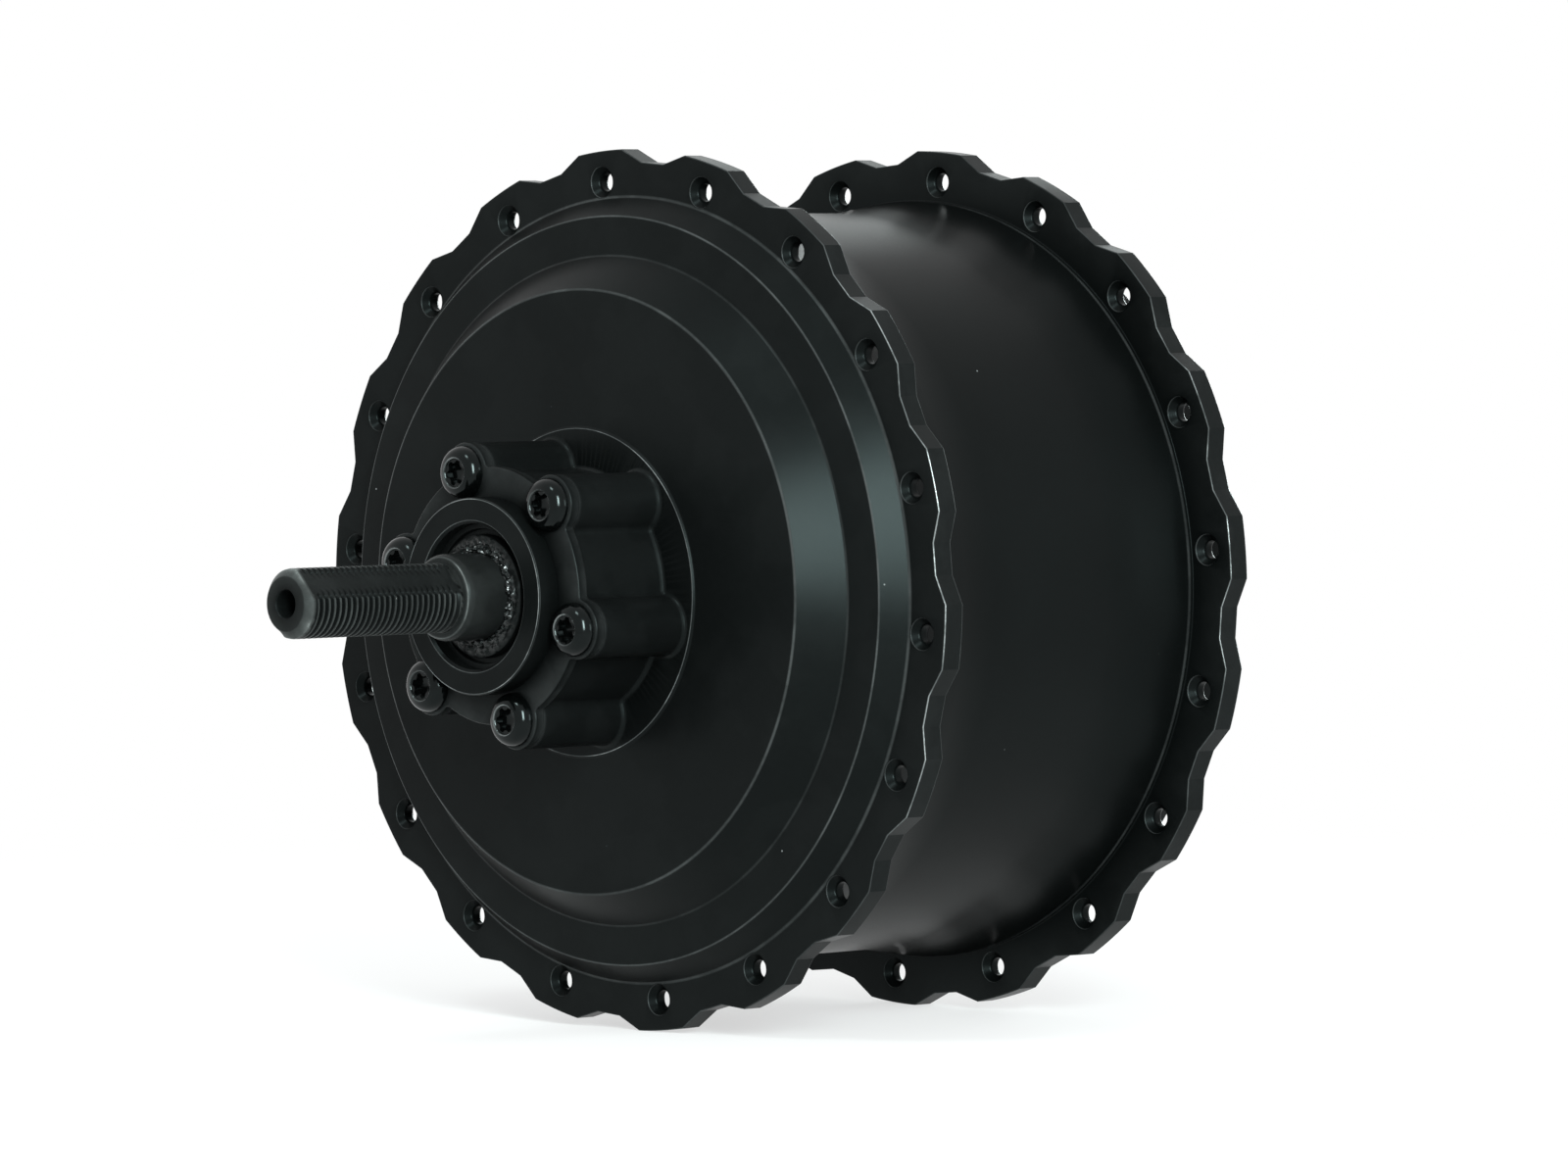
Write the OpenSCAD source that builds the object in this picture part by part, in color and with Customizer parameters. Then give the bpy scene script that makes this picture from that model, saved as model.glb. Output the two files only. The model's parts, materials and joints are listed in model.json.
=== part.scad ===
// Fat tire hub motor: a geared rear hub motor with a disc brake mount and a freewheel boss.
// The axle lies along Y. The disc side faces -Y, the freewheel side faces +Y, and +Z is up.
// Each piece is drawn with its axle along +Z and the disc side up, then laid down by lay().

/* [Axle] */
// Length of the threaded end on the disc side
thread_len = 35.2; // [30:0.1:42]
// Length of the threaded end on the cover side
cover_thread_len = 27; // [24:0.1:30]
// Distance from the end of the disc spigot to the axle's shoulder
shoulder_reach = 7.5; // [5:0.1:12]
// Nominal diameter of the threaded ends
thread_d = 12; // [10:0.5:13]
// Pitch of the threaded ends
thread_pitch = 1.25; // [1:0.25:1.75]
// Distance across the two flats on each threaded end
flat_across = 10; // [8.5:0.5:11]
// Direction that the flats face, above the horizontal
flat_angle = 41.3; // [0:0.1:180]
// Diameter of the plain journals
journal_d = 15; // [14:0.5:16]
// Diameter of the two seats for the rotor bearings
rotor_seat_d = 17; // [16.5:0.5:18]
// Diameter of the seat that carries the stator
stator_seat_d = 20; // [19:0.5:21]
// Diameter of the collar that stops the stator
collar_d = 24; // [22.5:0.5:27]
// Chamfer on the axle tips
tip_chamfer = 1.3; // [0.5:0.1:1.8]
// Length of the cone between journal and thread
shoulder_cone = 1.6; // [0.8:0.1:2.5]
// Diameter of the centre drilling in the solid tip
centre_d = 4.2; // [2:0.2:5]
// Diameter of the cable bore in the freewheel end
cable_bore_d = 7; // [4:0.5:7.5]

/* [Shell flanges and barrel] */
// Distance from the middle of the axle to the outer face of the disc side flange
left_face = 39; // [37:0.5:41]
// Distance between the disc side faces of the two flanges
flange_pitch = 71.2; // [70:0.1:73]
// Thickness of each flange
flange_t = 4.2; // [3.4:0.1:5]
// Height of the flange lobes above the valleys between them
lobe_rise = 2.25; // [1.5:0.05:3.5]
// Distance from the spoke circle out to the valleys
valley_lip = 3.15; // [2.9:0.05:4]
// Angle that each lobe's round tip spans
lobe_angle = 8.2; // [6:0.2:9]
// Angle that each valley's floor spans
valley_angle = 4.2; // [3:0.2:5]
// Number of spoke holes in each flange
spoke_count = 18; // [16:1:18]
// Distance from the flare out to the spoke circle
spoke_offset = 3.6; // [3.3:0.05:5]
// Diameter of a spoke hole
spoke_hole_d = 3.2; // [2.6:0.1:3.6]
// Diameter of the countersink at each end of a spoke hole
spoke_sink_d = 5.6; // [4.4:0.1:6]
// Angle of the first spoke hole of the disc side flange
spoke_phase = 15; // [0:1:20]
// Thickness of the barrel's wall over the ring gear
barrel_wall = 4.3; // [3.9:0.1:6]
// Height of the flare above the barrel
flare_rise = 2.2; // [1.5:0.1:3]
// Length of the flare beside each flange
flare_len = 15.4; // [8:0.2:22]
// Height of the ledge that the ring gear stops against
ring_ledge = 1.5; // [1:0.1:2.2]
// Thickness of the disc side end wall
wall_t = 4.45; // [3.6:0.05:5]

/* [Shell disc side] */
// Distance from the flare out to the foot of the outer step
skirt_rise = 0.65; // [0:0.05:0.75]
// Width of the outer step
step_run = 3.3; // [2.5:0.1:4]
// Height of the outer step above the flange
step_h = 4.25; // [3.6:0.05:5]
// Width of the ledge between the outer step and the cone
ledge_run = 6.95; // [5:0.05:9]
// Height of the cone's foot above the flange
cone_foot_h = 4.67; // [4.3:0.01:5.2]
// Width of the cone
cone_run = 5.75; // [4:0.05:8]
// Height of the cone's top above the flange
cone_top_h = 11.65; // [11.4:0.05:12.6]
// Rise of the end face from the cone's top to the pad
face_rise = 0.35; // [0.1:0.05:0.8]
// Width of the raised pad past the boss lobes
pad_rim = 1.4; // [0.6:0.1:3]
// Height of the raised pad above the end face
pad_h = 0.5; // [0.2:0.05:1]

/* [Disc mount] */
// Height of the disc seat above the flange
disc_seat_h = 33.3; // [31:0.1:35]
// Diameter of the spigot that centres the brake disc
spigot_d = 34; // [32.5:0.1:34.4]
// Height of the spigot above the disc seat
spigot_h = 4.3; // [3.6:0.1:5.5]
// Number of disc screws
disc_count = 6; // [6:1:6]
// Gap between a disc screw's head and the spigot
disc_head_gap = 0.35; // [0.1:0.05:1]
// Angle of the first disc screw
disc_phase = 45.9; // [0:0.1:60]
// Radius of the boss lobe round each disc screw
lobe_r = 5.2; // [4.8:0.1:5.8]
// Chamfer on the front edge of each boss lobe
lobe_chamfer = 0.6; // [0.2:0.1:1]
// Distance from the screw circle in to the boss between its lobes
boss_inset = 0.7; // [0.3:0.1:1.5]
// Distance from the screw circle out to the boss rim behind the disc seat
rim_outset = 0.25; // [0:0.05:0.8]
// Thickness of the boss rim
rim_t = 1.9; // [1:0.1:3]
// Depth of the boss rim below the disc seat on the lobes
rim_drop = 0.1; // [0.05:0.05:0.4]
// Diameter of a disc screw
disc_screw_d = 5; // [4:0.5:5.5]
// Depth of the threaded holes for the disc screws
disc_hole_depth = 14; // [12:0.5:16]
// Length of a disc screw under its head
disc_screw_len = 11; // [8:0.5:11.5]
// Diameter of a disc screw's head
disc_head_d = 9.3; // [8:0.1:9.5]
// Diameter of the flat top of a disc screw's head
disc_top_d = 5.4; // [5:0.1:6]
// Height of a disc screw's head
disc_head_h = 2.75; // [2.2:0.05:3.2]
// Diameter over the points of a disc screw's six-lobed socket
disc_socket_d = 4.5; // [4:0.1:4.8]
// Depth of a disc screw's socket
disc_socket_depth = 1.9; // [1:0.1:2.1]

/* [Side cover] */
// Thickness of the gasket under the cover
gasket_t = 0.5; // [0.3:0.1:1]
// Length of the spigot that centres the cover in the shell
cover_spigot_len = 6.9; // [5:0.1:9]
// Thickness of the cover's rim
cover_rim_t = 3; // [2.5:0.1:4]
// Height of the cover's raised face above its rim
cover_rise = 6.4; // [5.5:0.1:7.5]
// Distance from the ring gear's seat in to the foot of the cover's cone
cover_ledge = 2.5; // [2:0.1:4]
// Width of the cover's cone
cover_cone_run = 7; // [5:0.1:10]
// Thickness of the cover's wall
cover_wall = 4; // [3:0.1:5]
// Diameter of the seat that the freewheel stops against
seat_d = 47; // [44:0.5:52]
// Height of the freewheel seat above the cover's raised face
seat_h = 2.7; // [2:0.1:4]
// Diameter of the freewheel boss, over its thread
freewheel_d = 34.92; // [34.6:0.01:35.2]
// Length of the freewheel boss
freewheel_len = 13; // [11:0.5:15]
// Number of cover screws
cover_count = 9; // [6:1:10]
// Distance from the ring gear's seat out to the circle of the cover screws
cover_screw_offset = 3.1; // [2.6:0.1:3.4]
// Angle of the first cover screw
cover_phase = 30; // [10:1:50]
// Diameter of a cover screw
cover_screw_d = 3; // [2.5:0.1:3.2]
// Length of a cover screw under its head
cover_screw_len = 9; // [7:0.5:10]
// Diameter of a cover screw's head
cover_head_d = 5.7; // [5:0.1:6]
// Height of a cover screw's head
cover_head_h = 1.65; // [1.4:0.05:2]
// Diameter over the points of a cover screw's six-lobed socket
cover_socket_d = 2.8; // [2.2:0.1:3]

/* [Hub bearings and seals] */
// Outer diameter of the two hub bearings
hub_bearing_d = 32; // [31:0.5:33]
// Width of the two hub bearings
hub_bearing_w = 9; // [8:0.5:9.5]
// Distance from the end wall's inner face to the disc side bearing
bearing_inset = 4.3; // [3.5:0.1:6]
// Diameter of the bore in front of each hub bearing, which holds the seal
seal_bore_d = 25.2; // [24:0.1:26]
// Width of each seal
seal_w = 4.6; // [4:0.1:6]
// Depth of each seal below the end of its bore
seal_sink = 1.6; // [1:0.1:2.5]
// Number of balls in each hub bearing
hub_balls = 9; // [7:1:10]
// Number of balls in each rotor bearing
rotor_balls = 12; // [9:1:13]
// Outer diameter of the two rotor bearings
rotor_bearing_d = 30; // [29:0.5:31]
// Width of the two rotor bearings
rotor_bearing_w = 7; // [6:0.5:7.5]

/* [Stator] */
// Gap between the stator and the magnets
air_gap = 0.8; // [0.5:0.05:1.2]
// Gap between the coils and the rotor's back plate
coil_clear = 1.8; // [1:0.1:3]
// Distance from the rotor can's cover side end to the stack
stack_inset = 8.5; // [8:0.1:10]
// Number of teeth and coils
tooth_count = 18; // [15:3:18]
// Width of a tooth
tooth_w = 6.5; // [5.5:0.1:6.8]
// Width of the opening between two tooth tips
slot_gap = 2.6; // [2:0.1:3.5]
// Thickness of the tooth tips
tip_t = 2.4; // [1.8:0.1:3]
// Thickness of the laminations behind the slots
yoke_t = 6.3; // [5:0.1:8]
// Depth of a slot
slot_depth = 11.9; // [10:0.1:13]
// Thickness of the plastic on the stack's ends
end_insulation = 0.8; // [0.5:0.1:1.2]
// Thickness of the plastic on each side of a tooth
side_insulation = 0.6; // [0.4:0.1:0.7]
// Gap between two neighbouring coils
coil_gap = 1.04; // [0.5:0.02:2]
// Thickness of a coil past the end of its tooth
coil_end = 4.4; // [3.5:0.1:5]
// Gap between a coil and the tooth tips
coil_tip_gap = 1.1; // [0.5:0.1:2]
// Width of the stator hub's web
web_t = 9; // [6:0.5:12]
// Diameter of the stator hub's inner boss
hub_boss_d = 34; // [32:0.5:38]
// Distance from the stack's cover side end to the stator hub
hub_inset = 5; // [4.6:0.1:6]

/* [Rotor] */
// Gap between the rotor can and the shell
rotor_gap = 1.7; // [1:0.1:2.5]
// Thickness of the rotor can's wall
can_t = 3.3; // [2.6:0.1:3.5]
// Thickness of a magnet
magnet_t = 3; // [2.4:0.1:3.1]
// Length of a magnet past each end of the stack
magnet_overhang = 2; // [0:0.1:2.5]
// Number of magnets
magnet_count = 20; // [16:2:20]
// Share of its pitch that a magnet fills
magnet_fill = 0.9; // [0.7:0.01:0.95]
// Thickness of the rotor's end plates
plate_t = 3; // [2.5:0.1:3.2]
// Gap between the rotor's back plate and the shell's end wall
end_clear = 1.22; // [0.6:0.02:2]
// Gap between the ring gear and the rotor's end plate
plate_gap = 2.5; // [2.2:0.1:3.5]
// Wall of the collars that hold the rotor bearings
bearing_collar = 3.5; // [2.5:0.1:4]
// Number of vent holes in each end plate
vent_count = 6; // [3:1:8]
// Diameter of a vent hole
vent_d = 16; // [8:0.5:17]
// Distance from the axle to the middle of a vent hole
vent_r = 38; // [34:0.5:42]

/* [Planetary gear] */
// Module of the teeth
gear_module = 1.5; // [1.49:0.01:1.51]
// Teeth of the sun gear
sun_teeth = 16; // [16:1:16]
// Teeth of each planet gear
planet_teeth = 29; // [29:1:29]
// Number of planet gears
planet_count = 3; // [3:1:3]
// Amount that every tooth is thinned for backlash
tooth_thinning = 0.2; // [0.1:0.05:0.35]
// Width of the planet gears
planet_w = 13.7; // [12:0.1:14]
// Depth of the planet gears inside the ring gear
planet_sink = 1.3; // [1.1:0.1:2.5]
// Width of the ring gear
ring_w = 18; // [16:0.5:18.4]
// Thickness of the ring gear behind its teeth
ring_rim = 4.125; // [3.5:0.025:5]
// Radial gap between the axle and the sun gear
sun_gap = 0.6; // [0.4:0.05:0.8]
// Diameter of the sun gear's flange
sun_flange_d = 48; // [44:0.5:50]
// Thickness of the sun gear's flange
sun_flange_t = 2.4; // [2:0.1:2.6]
// Diameter of a planet pin
pin_d = 10; // [8:0.5:11]
// Wall of the bush in each planet gear
bush_wall = 2.4; // [1.5:0.1:3]
// Radial clearance of a bush on its pin
bush_gap = 0.1; // [0.05:0.01:0.2]
// Thickness of a thrust washer
washer_t = 0.35; // [0.2:0.05:0.45]
// End play between a planet gear and each carrier plate
planet_play = 0.65; // [0.6:0.05:0.7]
// Thickness of the carrier's plate
carrier_t = 3.9; // [3:0.1:4.2]
// Width of the carrier's plate past the planet pins
carrier_rim = 6.25; // [6:0.05:8]
// Thickness of the carrier's front plate
front_plate_t = 1.6; // [1:0.1:1.8]
// Radius of the carrier's three posts
post_r = 6; // [4.5:0.1:7]
// Distance from the circle of the planet pins out to the posts
post_offset = 4.25; // [2:0.05:4.8]
// Number of dowels that lock the ring gear
dowel_count = 6; // [4:1:6]
// Diameter of a ring gear dowel
dowel_d = 3; // [2:0.1:3.4]
// Length of a ring gear dowel
dowel_len = 12; // [8:0.5:14]

/* [One-way clutch] */
// Outer diameter of the clutch's inner race
race_d = 21.6; // [21:0.1:22.4]
// Diameter of a clutch roller
roller_d = 4; // [3:0.1:4.2]
// Number of clutch rollers
roller_count = 8; // [6:1:10]
// Wall of the clutch's outer race
race_wall = 6; // [4:0.1:7]
// Gap between the clutch and the cover side bearing
clutch_gap = 1.8; // [1.6:0.1:3]

/* [Hidden] */

$fn = 96;
fine = 180;
small = 32;
over = 1;

// Stations along the axle, from the disc side flange
left_in = left_face - flange_t;
right_in = left_face - flange_pitch;
right_end = right_in - flange_t;
face_z = left_face + cone_top_h;
wall_z = face_z - wall_t;
corner_z = left_face + cone_foot_h - wall_t;
pad_z = face_z + face_rise;
disc_z = left_face + disc_seat_h;
spigot_z = disc_z + spigot_h;
shoulder_z = spigot_z + shoulder_reach;
tip_z = shoulder_z + thread_len;
cover_tip_z = -shoulder_z - cover_thread_len;
left_bearing_z = wall_z + bearing_inset;
left_bearing_end = left_bearing_z + hub_bearing_w;
cover_base = right_end - gasket_t;
cover_rim_z = cover_base - cover_rim_t;
cover_face_z = cover_rim_z - cover_rise;
cover_in_z = cover_face_z + cover_wall;
seat_z = cover_face_z - seat_h;
boss_end_z = seat_z - freewheel_len;
bearing_lip = 1;
right_bearing_end = seat_z + bearing_lip;
right_bearing_z = right_bearing_end + hub_bearing_w;
ring_far = cover_base + cover_spigot_len;
ring_near = ring_far + ring_w;
plate_right_z = ring_near + plate_gap;
can_right_z = plate_right_z + plate_t;
can_left_z = corner_z - end_clear - plate_t;
rotor_left_z = can_left_z - 0.5;
rotor_right_z = can_right_z - 1.5;
stack_z = can_right_z + stack_inset;
stack_end = can_left_z - coil_clear - coil_end - end_insulation;
stack_len = stack_end - stack_z;
hub_z = stack_z + hub_inset;
collar_z = stack_end - 2;
planet_near = ring_near - planet_sink;
planet_far = planet_near - planet_w;
front_plate_z = planet_near + planet_play;
carrier_z = planet_far - planet_play;
sun_end_z = planet_far - 0.3;
clutch_far_z = right_bearing_z + clutch_gap;
clutch_near_z = carrier_z - 0.4;

// Gears
pressure_angle = 20;
ring_teeth = sun_teeth + 2 * planet_teeth;
centre_r = gear_module * (sun_teeth + planet_teeth) / 2;
planet_first = 90;
planet_step = 360 / planet_count;
post_first = planet_first + planet_step / 2;
sun_turn = planet_first * (ring_teeth + sun_teeth) / sun_teeth;
pin_r = pin_d / 2;
bush_r = pin_r + bush_gap;
bush_out_r = bush_r + bush_wall;
carrier_r = centre_r + pin_r + carrier_rim;
post_circle_r = centre_r + post_offset;
carrier_screw_d = 4;
carrier_screw_len = 9.6;
dowel_end = ring_far + dowel_len;

// Shell
ring_seat_r = gear_module * (ring_teeth / 2 + 1.25) + ring_rim;
cavity_r = ring_seat_r - ring_ledge;
barrel_r = ring_seat_r + barrel_wall;
flare_r = barrel_r + flare_rise;
spoke_circle_r = flare_r + spoke_offset;
valley_r = spoke_circle_r + valley_lip;
flange_r = valley_r + lobe_rise;
skirt_r = flare_r + skirt_rise;
step_r = skirt_r - step_run;
cone_foot_r = step_r - ledge_run;
cone_top_r = cone_foot_r - cone_run;
spoke_r = spoke_hole_d / 2;
sink_r = spoke_sink_d / 2;
spoke_step = 360 / spoke_count;
spigot_r = spigot_d / 2;
disc_r = spigot_r + disc_head_gap + disc_head_d / 2;
boss_r = disc_r - boss_inset;
rim_r = disc_r + rim_outset;
pad_r = disc_r + lobe_r + pad_rim;
seal_bore_r = seal_bore_d / 2;
ridge_w = 0.9;
soft = 2.2;

// Side cover
cover_spigot_r = ring_seat_r - 0.05;
cover_foot_r = ring_seat_r - cover_ledge;
cover_face_r = cover_foot_r - cover_cone_run;
cover_screw_r = ring_seat_r + cover_screw_offset;
cover_tap_r = cover_screw_d / 2 - 0.2;

// Axle and bearings
axle_r = journal_d / 2;
rotor_seat_r = rotor_seat_d / 2;
stator_seat_r = stator_seat_d / 2;
thread_r = thread_d / 2;
thread_depth = 0.54 * thread_pitch;
centre_depth = 6;
key_w = 4;
circlip_t = 1;
circlip_groove = 0.5;
circlip_band = 2.5;
collar_w = 3;
lip_gap = 0.12;
hub_bearing_r = hub_bearing_d / 2;
rotor_bearing_r = rotor_bearing_d / 2;
ball_gap = 0.1;

// Rotor
can_r = cavity_r - rotor_gap;
magnet_r = can_r - can_t;
magnet_z = stack_z - magnet_overhang;
magnet_len = stack_len + 2 * magnet_overhang;
sun_flange_r = sun_flange_d / 2;
sun_bore_r = axle_r + sun_gap;
sun_screw_r = sun_flange_r - 3;
sun_screw_d = 3;
sun_screw_count = 6;

// Stator
stator_r = magnet_r - magnet_t - air_gap;
slot_floor_r = stator_r - slot_depth;
core_bore_r = slot_floor_r - yoke_t;
tooth_step = 360 / tooth_count;
coil_seat = 0.2;
coil_in_r = slot_floor_r + side_insulation + coil_seat;
coil_depth = stator_r - tip_t - coil_tip_gap - coil_in_r;
coil_side = coil_in_r * tan(tooth_step / 2) - tooth_w / 2 - side_insulation - coil_gap / 2;
board_z = stack_z - end_insulation - coil_end - 0.35;
board_t = 1.2;
hall_mid = 90 + (floor(tooth_count / 2) - 0.5) * tooth_step;
lead_d = 2.4;
lead_pitch = 2.8;
lead_z = stack_z + 0.3;
lead_end_z = stack_z - end_insulation - coil_end / 2 - 0.2;
lead_start = thread_r + 1;
lead_turn = core_bore_r - 11;
lead_bend = 8;

// Clutch
race_r = race_d / 2;
roller_r = roller_d / 2;
roller_mid_r = race_r + roller_r;
outer_race_r = race_r + roller_d;

// Helpers
function mix(a, b, t) = a * (1 - t) + b * t;
function unit(v) = v / norm(v);
function bend(a, b, c, d, n = 5) = [
    for (i = [0:n])
        let (p = b + unit(a - b) * d, q = b + unit(c - b) * d, t = i / n)
        mix(mix(p, b, t), mix(b, q, t), t)
];
// Each corner is [radius, height, setback]; a setback above zero blends the corner.
function outline(corners) = [
    for (i = [0:len(corners) - 1])
        let (
            n = len(corners),
            a = corners[(i + n - 1) % n],
            b = corners[i],
            c = corners[(i + 1) % n]
        )
        each b[2] > 0
            ? bend([a[0], a[1]], [b[0], b[1]], [c[0], c[1]], b[2])
            : [[b[0], b[1]]]
];

module lay() {
    rotate([90, 0, 0]) children();
}

module at(z) {
    translate([0, 0, z]) children();
}

module around(count, r, first = 0) {
    for (i = [0:count - 1])
        rotate([0, 0, first + i * 360 / count]) translate([r, 0, 0]) children();
}

module turned(corners, detail = fine) {
    rotate_extrude($fn = detail) polygon(outline(corners));
}

module rod(z1, z2, r, detail = $fn) {
    at(min(z1, z2)) cylinder(h = abs(z2 - z1), r = r, $fn = detail);
}

module tube(z1, z2, r_out, r_in, detail = $fn) {
    difference() {
        rod(z1, z2, r_out, detail);
        rod(min(z1, z2) - over, max(z1, z2) + over, r_in, detail);
    }
}

// Six-lobed driver socket, open upward from the given height
module socket(d, depth) {
    notch_r = d * 0.16;
    translate([0, 0, -depth])
        linear_extrude(height = depth + over)
            difference() {
                circle(d = d, $fn = small);
                for (i = [0:5])
                    rotate(30 + i * 60) translate([d * 0.355 + notch_r, 0]) circle(notch_r, $fn = small);
            }
}

// Button head screw, its head standing on z = 0 and its shank reaching down
module button_screw(d, len, head_d, top_d, head_h, socket_d, socket_depth) {
    difference() {
        union() {
            rotate_extrude($fn = 48)
                polygon(concat(
                    [[0, 0], [head_d / 2 - 0.2, 0], [head_d / 2, 0.25]],
                    bend([head_d / 2, 0.25], [head_d / 2 - 0.25, head_h], [top_d / 2 - 0.6, head_h],
                         (head_d - top_d) / 2 - 0.25, 6),
                    [[0, head_h]]
                ));
            rod(-len, 0.1, d / 2, small);
        }
        at(head_h) socket(socket_d, socket_depth);
    }
}

// Countersunk screw, its head flush with z = 0 and its shank reaching down
module flush_screw(d, len, head_d) {
    depth = (head_d - d) / 2;
    difference() {
        union() {
            at(-depth) cylinder(h = depth, r1 = d / 2, r2 = head_d / 2, $fn = small);
            rod(-len, -depth + 0.05, d / 2, small);
        }
        socket(head_d * 0.5, depth * 0.8);
    }
}

// Deep groove ball bearing in three pieces, from z = 0 to z = w
function ball_r(d_in, d_out) = 0.29 * (d_out - d_in) / 2;
function pitch_r(d_in, d_out) = (d_in + d_out) / 4;

module ball_path(d_in, d_out, w) {
    at(w / 2)
        rotate_extrude($fn = fine)
            translate([pitch_r(d_in, d_out), 0]) circle(ball_r(d_in, d_out) + ball_gap, $fn = 48);
}

module inner_ring(d_in, d_out, w) {
    land = pitch_r(d_in, d_out) - 0.55 * ball_r(d_in, d_out);
    difference() {
        tube(0, w, land, d_in / 2);
        ball_path(d_in, d_out, w);
    }
}

module outer_ring(d_in, d_out, w) {
    land = pitch_r(d_in, d_out) + 0.55 * ball_r(d_in, d_out);
    difference() {
        tube(0, w, d_out / 2, land);
        ball_path(d_in, d_out, w);
    }
}

module ball_set(d_in, d_out, w, count) {
    r = ball_r(d_in, d_out);
    mid = pitch_r(d_in, d_out);
    around(count, mid) at(w / 2) sphere(r, $fn = 48);
    difference() {
        tube(w / 2 - 1.2 * r, w / 2 + 1.2 * r, mid + 0.28 * r, mid - 0.28 * r);
        around(count, mid)
            at(w / 2) rotate([0, 90, 0]) cylinder(h = 1.2 * r, r = r + ball_gap, center = true, $fn = 48);
    }
}

// Open spring ring that snaps into a groove
module circlip(r_groove, angle) {
    difference() {
        tube(0, circlip_t, r_groove + circlip_band, r_groove);
        rotate([0, 0, angle])
            translate([0, -r_groove * 0.55, -over])
                cube([r_groove * 3, r_groove * 1.1, circlip_t + 2 * over]);
    }
}

// Gear teeth: flanks follow the involute of the base circle
function involute(r, base) = let (t = sqrt(max(0, pow(r / base, 2) - 1))) t * 180 / PI - atan(t);
function half_tooth(r, teeth, thick) =
    let (mid = gear_module * teeth / 2, base = mid * cos(pressure_angle))
    90 / teeth + thick / 2 / mid * 180 / PI + involute(mid, base) - involute(max(r, base), base);
function flank(teeth, r1, r2, thick, n = 4) = [
    for (i = [0:n]) let (r = mix(r1, r2, i / n)) [r, half_tooth(r, teeth, thick)]
];
function spread(f, turn, side) = [for (p = f) p[0] * [cos(turn + side * p[1]), sin(turn + side * p[1])]];
function backwards(list) = [for (i = [len(list) - 1:-1:0]) list[i]];
function gear_outline(teeth, r_root, r_tip, thick) =
    let (
        base = gear_module * teeth / 2 * cos(pressure_angle),
        start = max(r_root, base),
        foot = r_root < base ? [[r_root, half_tooth(start, teeth, thick)]] : [],
        f = concat(foot, flank(teeth, start, r_tip, thick))
    )
    [
        for (i = [0:teeth - 1])
            each concat(spread(f, i * 360 / teeth, -1), backwards(spread(f, i * 360 / teeth, 1)))
    ];

module outer_teeth(teeth, width) {
    mid = gear_module * teeth / 2;
    linear_extrude(height = width)
        polygon(gear_outline(teeth, mid - 1.25 * gear_module, mid + gear_module, -tooth_thinning));
}

module inner_teeth(teeth, width) {
    mid = gear_module * teeth / 2;
    linear_extrude(height = width)
        polygon(gear_outline(teeth, mid - gear_module, mid + 1.25 * gear_module, tooth_thinning));
}

// Axle and stator

module thread_end(length) {
    count = floor((length - tip_chamfer - 2 * thread_pitch) / thread_pitch);
    for (i = [0:count - 1])
        at(shoulder_z + 1.5 * thread_pitch + i * thread_pitch)
            rotate_extrude($fn = 64)
                polygon([
                    [thread_r + over, -thread_pitch / 2 - over * 0.65],
                    [thread_r + over, thread_pitch / 2 + over * 0.65],
                    [thread_r - thread_depth, 0.08],
                    [thread_r - thread_depth, -0.08]
                ]);
}

module flats() {
    rotate([0, 0, flat_angle])
        for (side = [0, 180])
            rotate([0, 0, side])
                translate([flat_across / 2, -journal_d, shoulder_z])
                    cube([journal_d, 2 * journal_d, tip_z]);
}

module axle() {
    slot_w = 2 * lead_pitch + lead_d + 1;
    slot_h = 2 * lead_d + 0.4;
    color("dimgray") lay()
        difference() {
            turned([
                [0, cover_tip_z, 0],
                [thread_r - tip_chamfer, cover_tip_z, 0],
                [thread_r, cover_tip_z + tip_chamfer, 0],
                [thread_r, -shoulder_z, 0],
                [axle_r, -shoulder_z + shoulder_cone, 0],
                [axle_r, plate_right_z + 0.5, 0],
                [rotor_seat_r, plate_right_z + 0.5, 0],
                [rotor_seat_r, rotor_right_z + rotor_bearing_w, 0],
                [stator_seat_r, rotor_right_z + rotor_bearing_w, 0],
                [stator_seat_r, collar_z, 0],
                [collar_d / 2, collar_z, 0],
                [collar_d / 2, collar_z + collar_w, 0],
                [stator_seat_r, collar_z + collar_w, 0],
                [stator_seat_r, rotor_left_z, 0],
                [rotor_seat_r, rotor_left_z, 0],
                [rotor_seat_r, left_bearing_z, 0],
                [axle_r, left_bearing_z, 0],
                [axle_r, shoulder_z - shoulder_cone, 0],
                [thread_r, shoulder_z, 0],
                [thread_r, tip_z - tip_chamfer, 0],
                [thread_r - tip_chamfer, tip_z, 0],
                [0, tip_z, 0]
            ], 96);
            thread_end(thread_len);
            mirror([0, 0, 1]) thread_end(cover_thread_len);
            flats();
            mirror([0, 0, 1]) flats();
            at(tip_z - centre_depth) cylinder(h = centre_depth + over, d = centre_d, $fn = small);
            rod(cover_tip_z - over, lead_z, cable_bore_d / 2, 48);
            translate([-slot_w / 2, 0, lead_z - slot_h / 2]) cube([slot_w, journal_d, slot_h]);
            translate([-key_w / 2, -stator_seat_r - over, hub_z + 1])
                cube([key_w, key_w / 2 + over, collar_z - hub_z - 2]);
            translate([-key_w / 2, -axle_r - over, clutch_far_z + 1])
                cube([key_w, key_w / 2 + over - 0.5, clutch_near_z - clutch_far_z - 2]);
            at(hub_z - circlip_t - 0.1)
                tube(0, circlip_t, stator_seat_r + over, stator_seat_r - circlip_groove);
            at(clutch_far_z - circlip_t - 0.05)
                tube(0, circlip_t, axle_r + over, axle_r - circlip_groove);
        }
}

module stator_key() {
    color("silver") lay()
        translate([-key_w / 2, -stator_seat_r - key_w / 2, hub_z + 1])
            cube([key_w, key_w, collar_z - hub_z - 2]);
}

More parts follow.
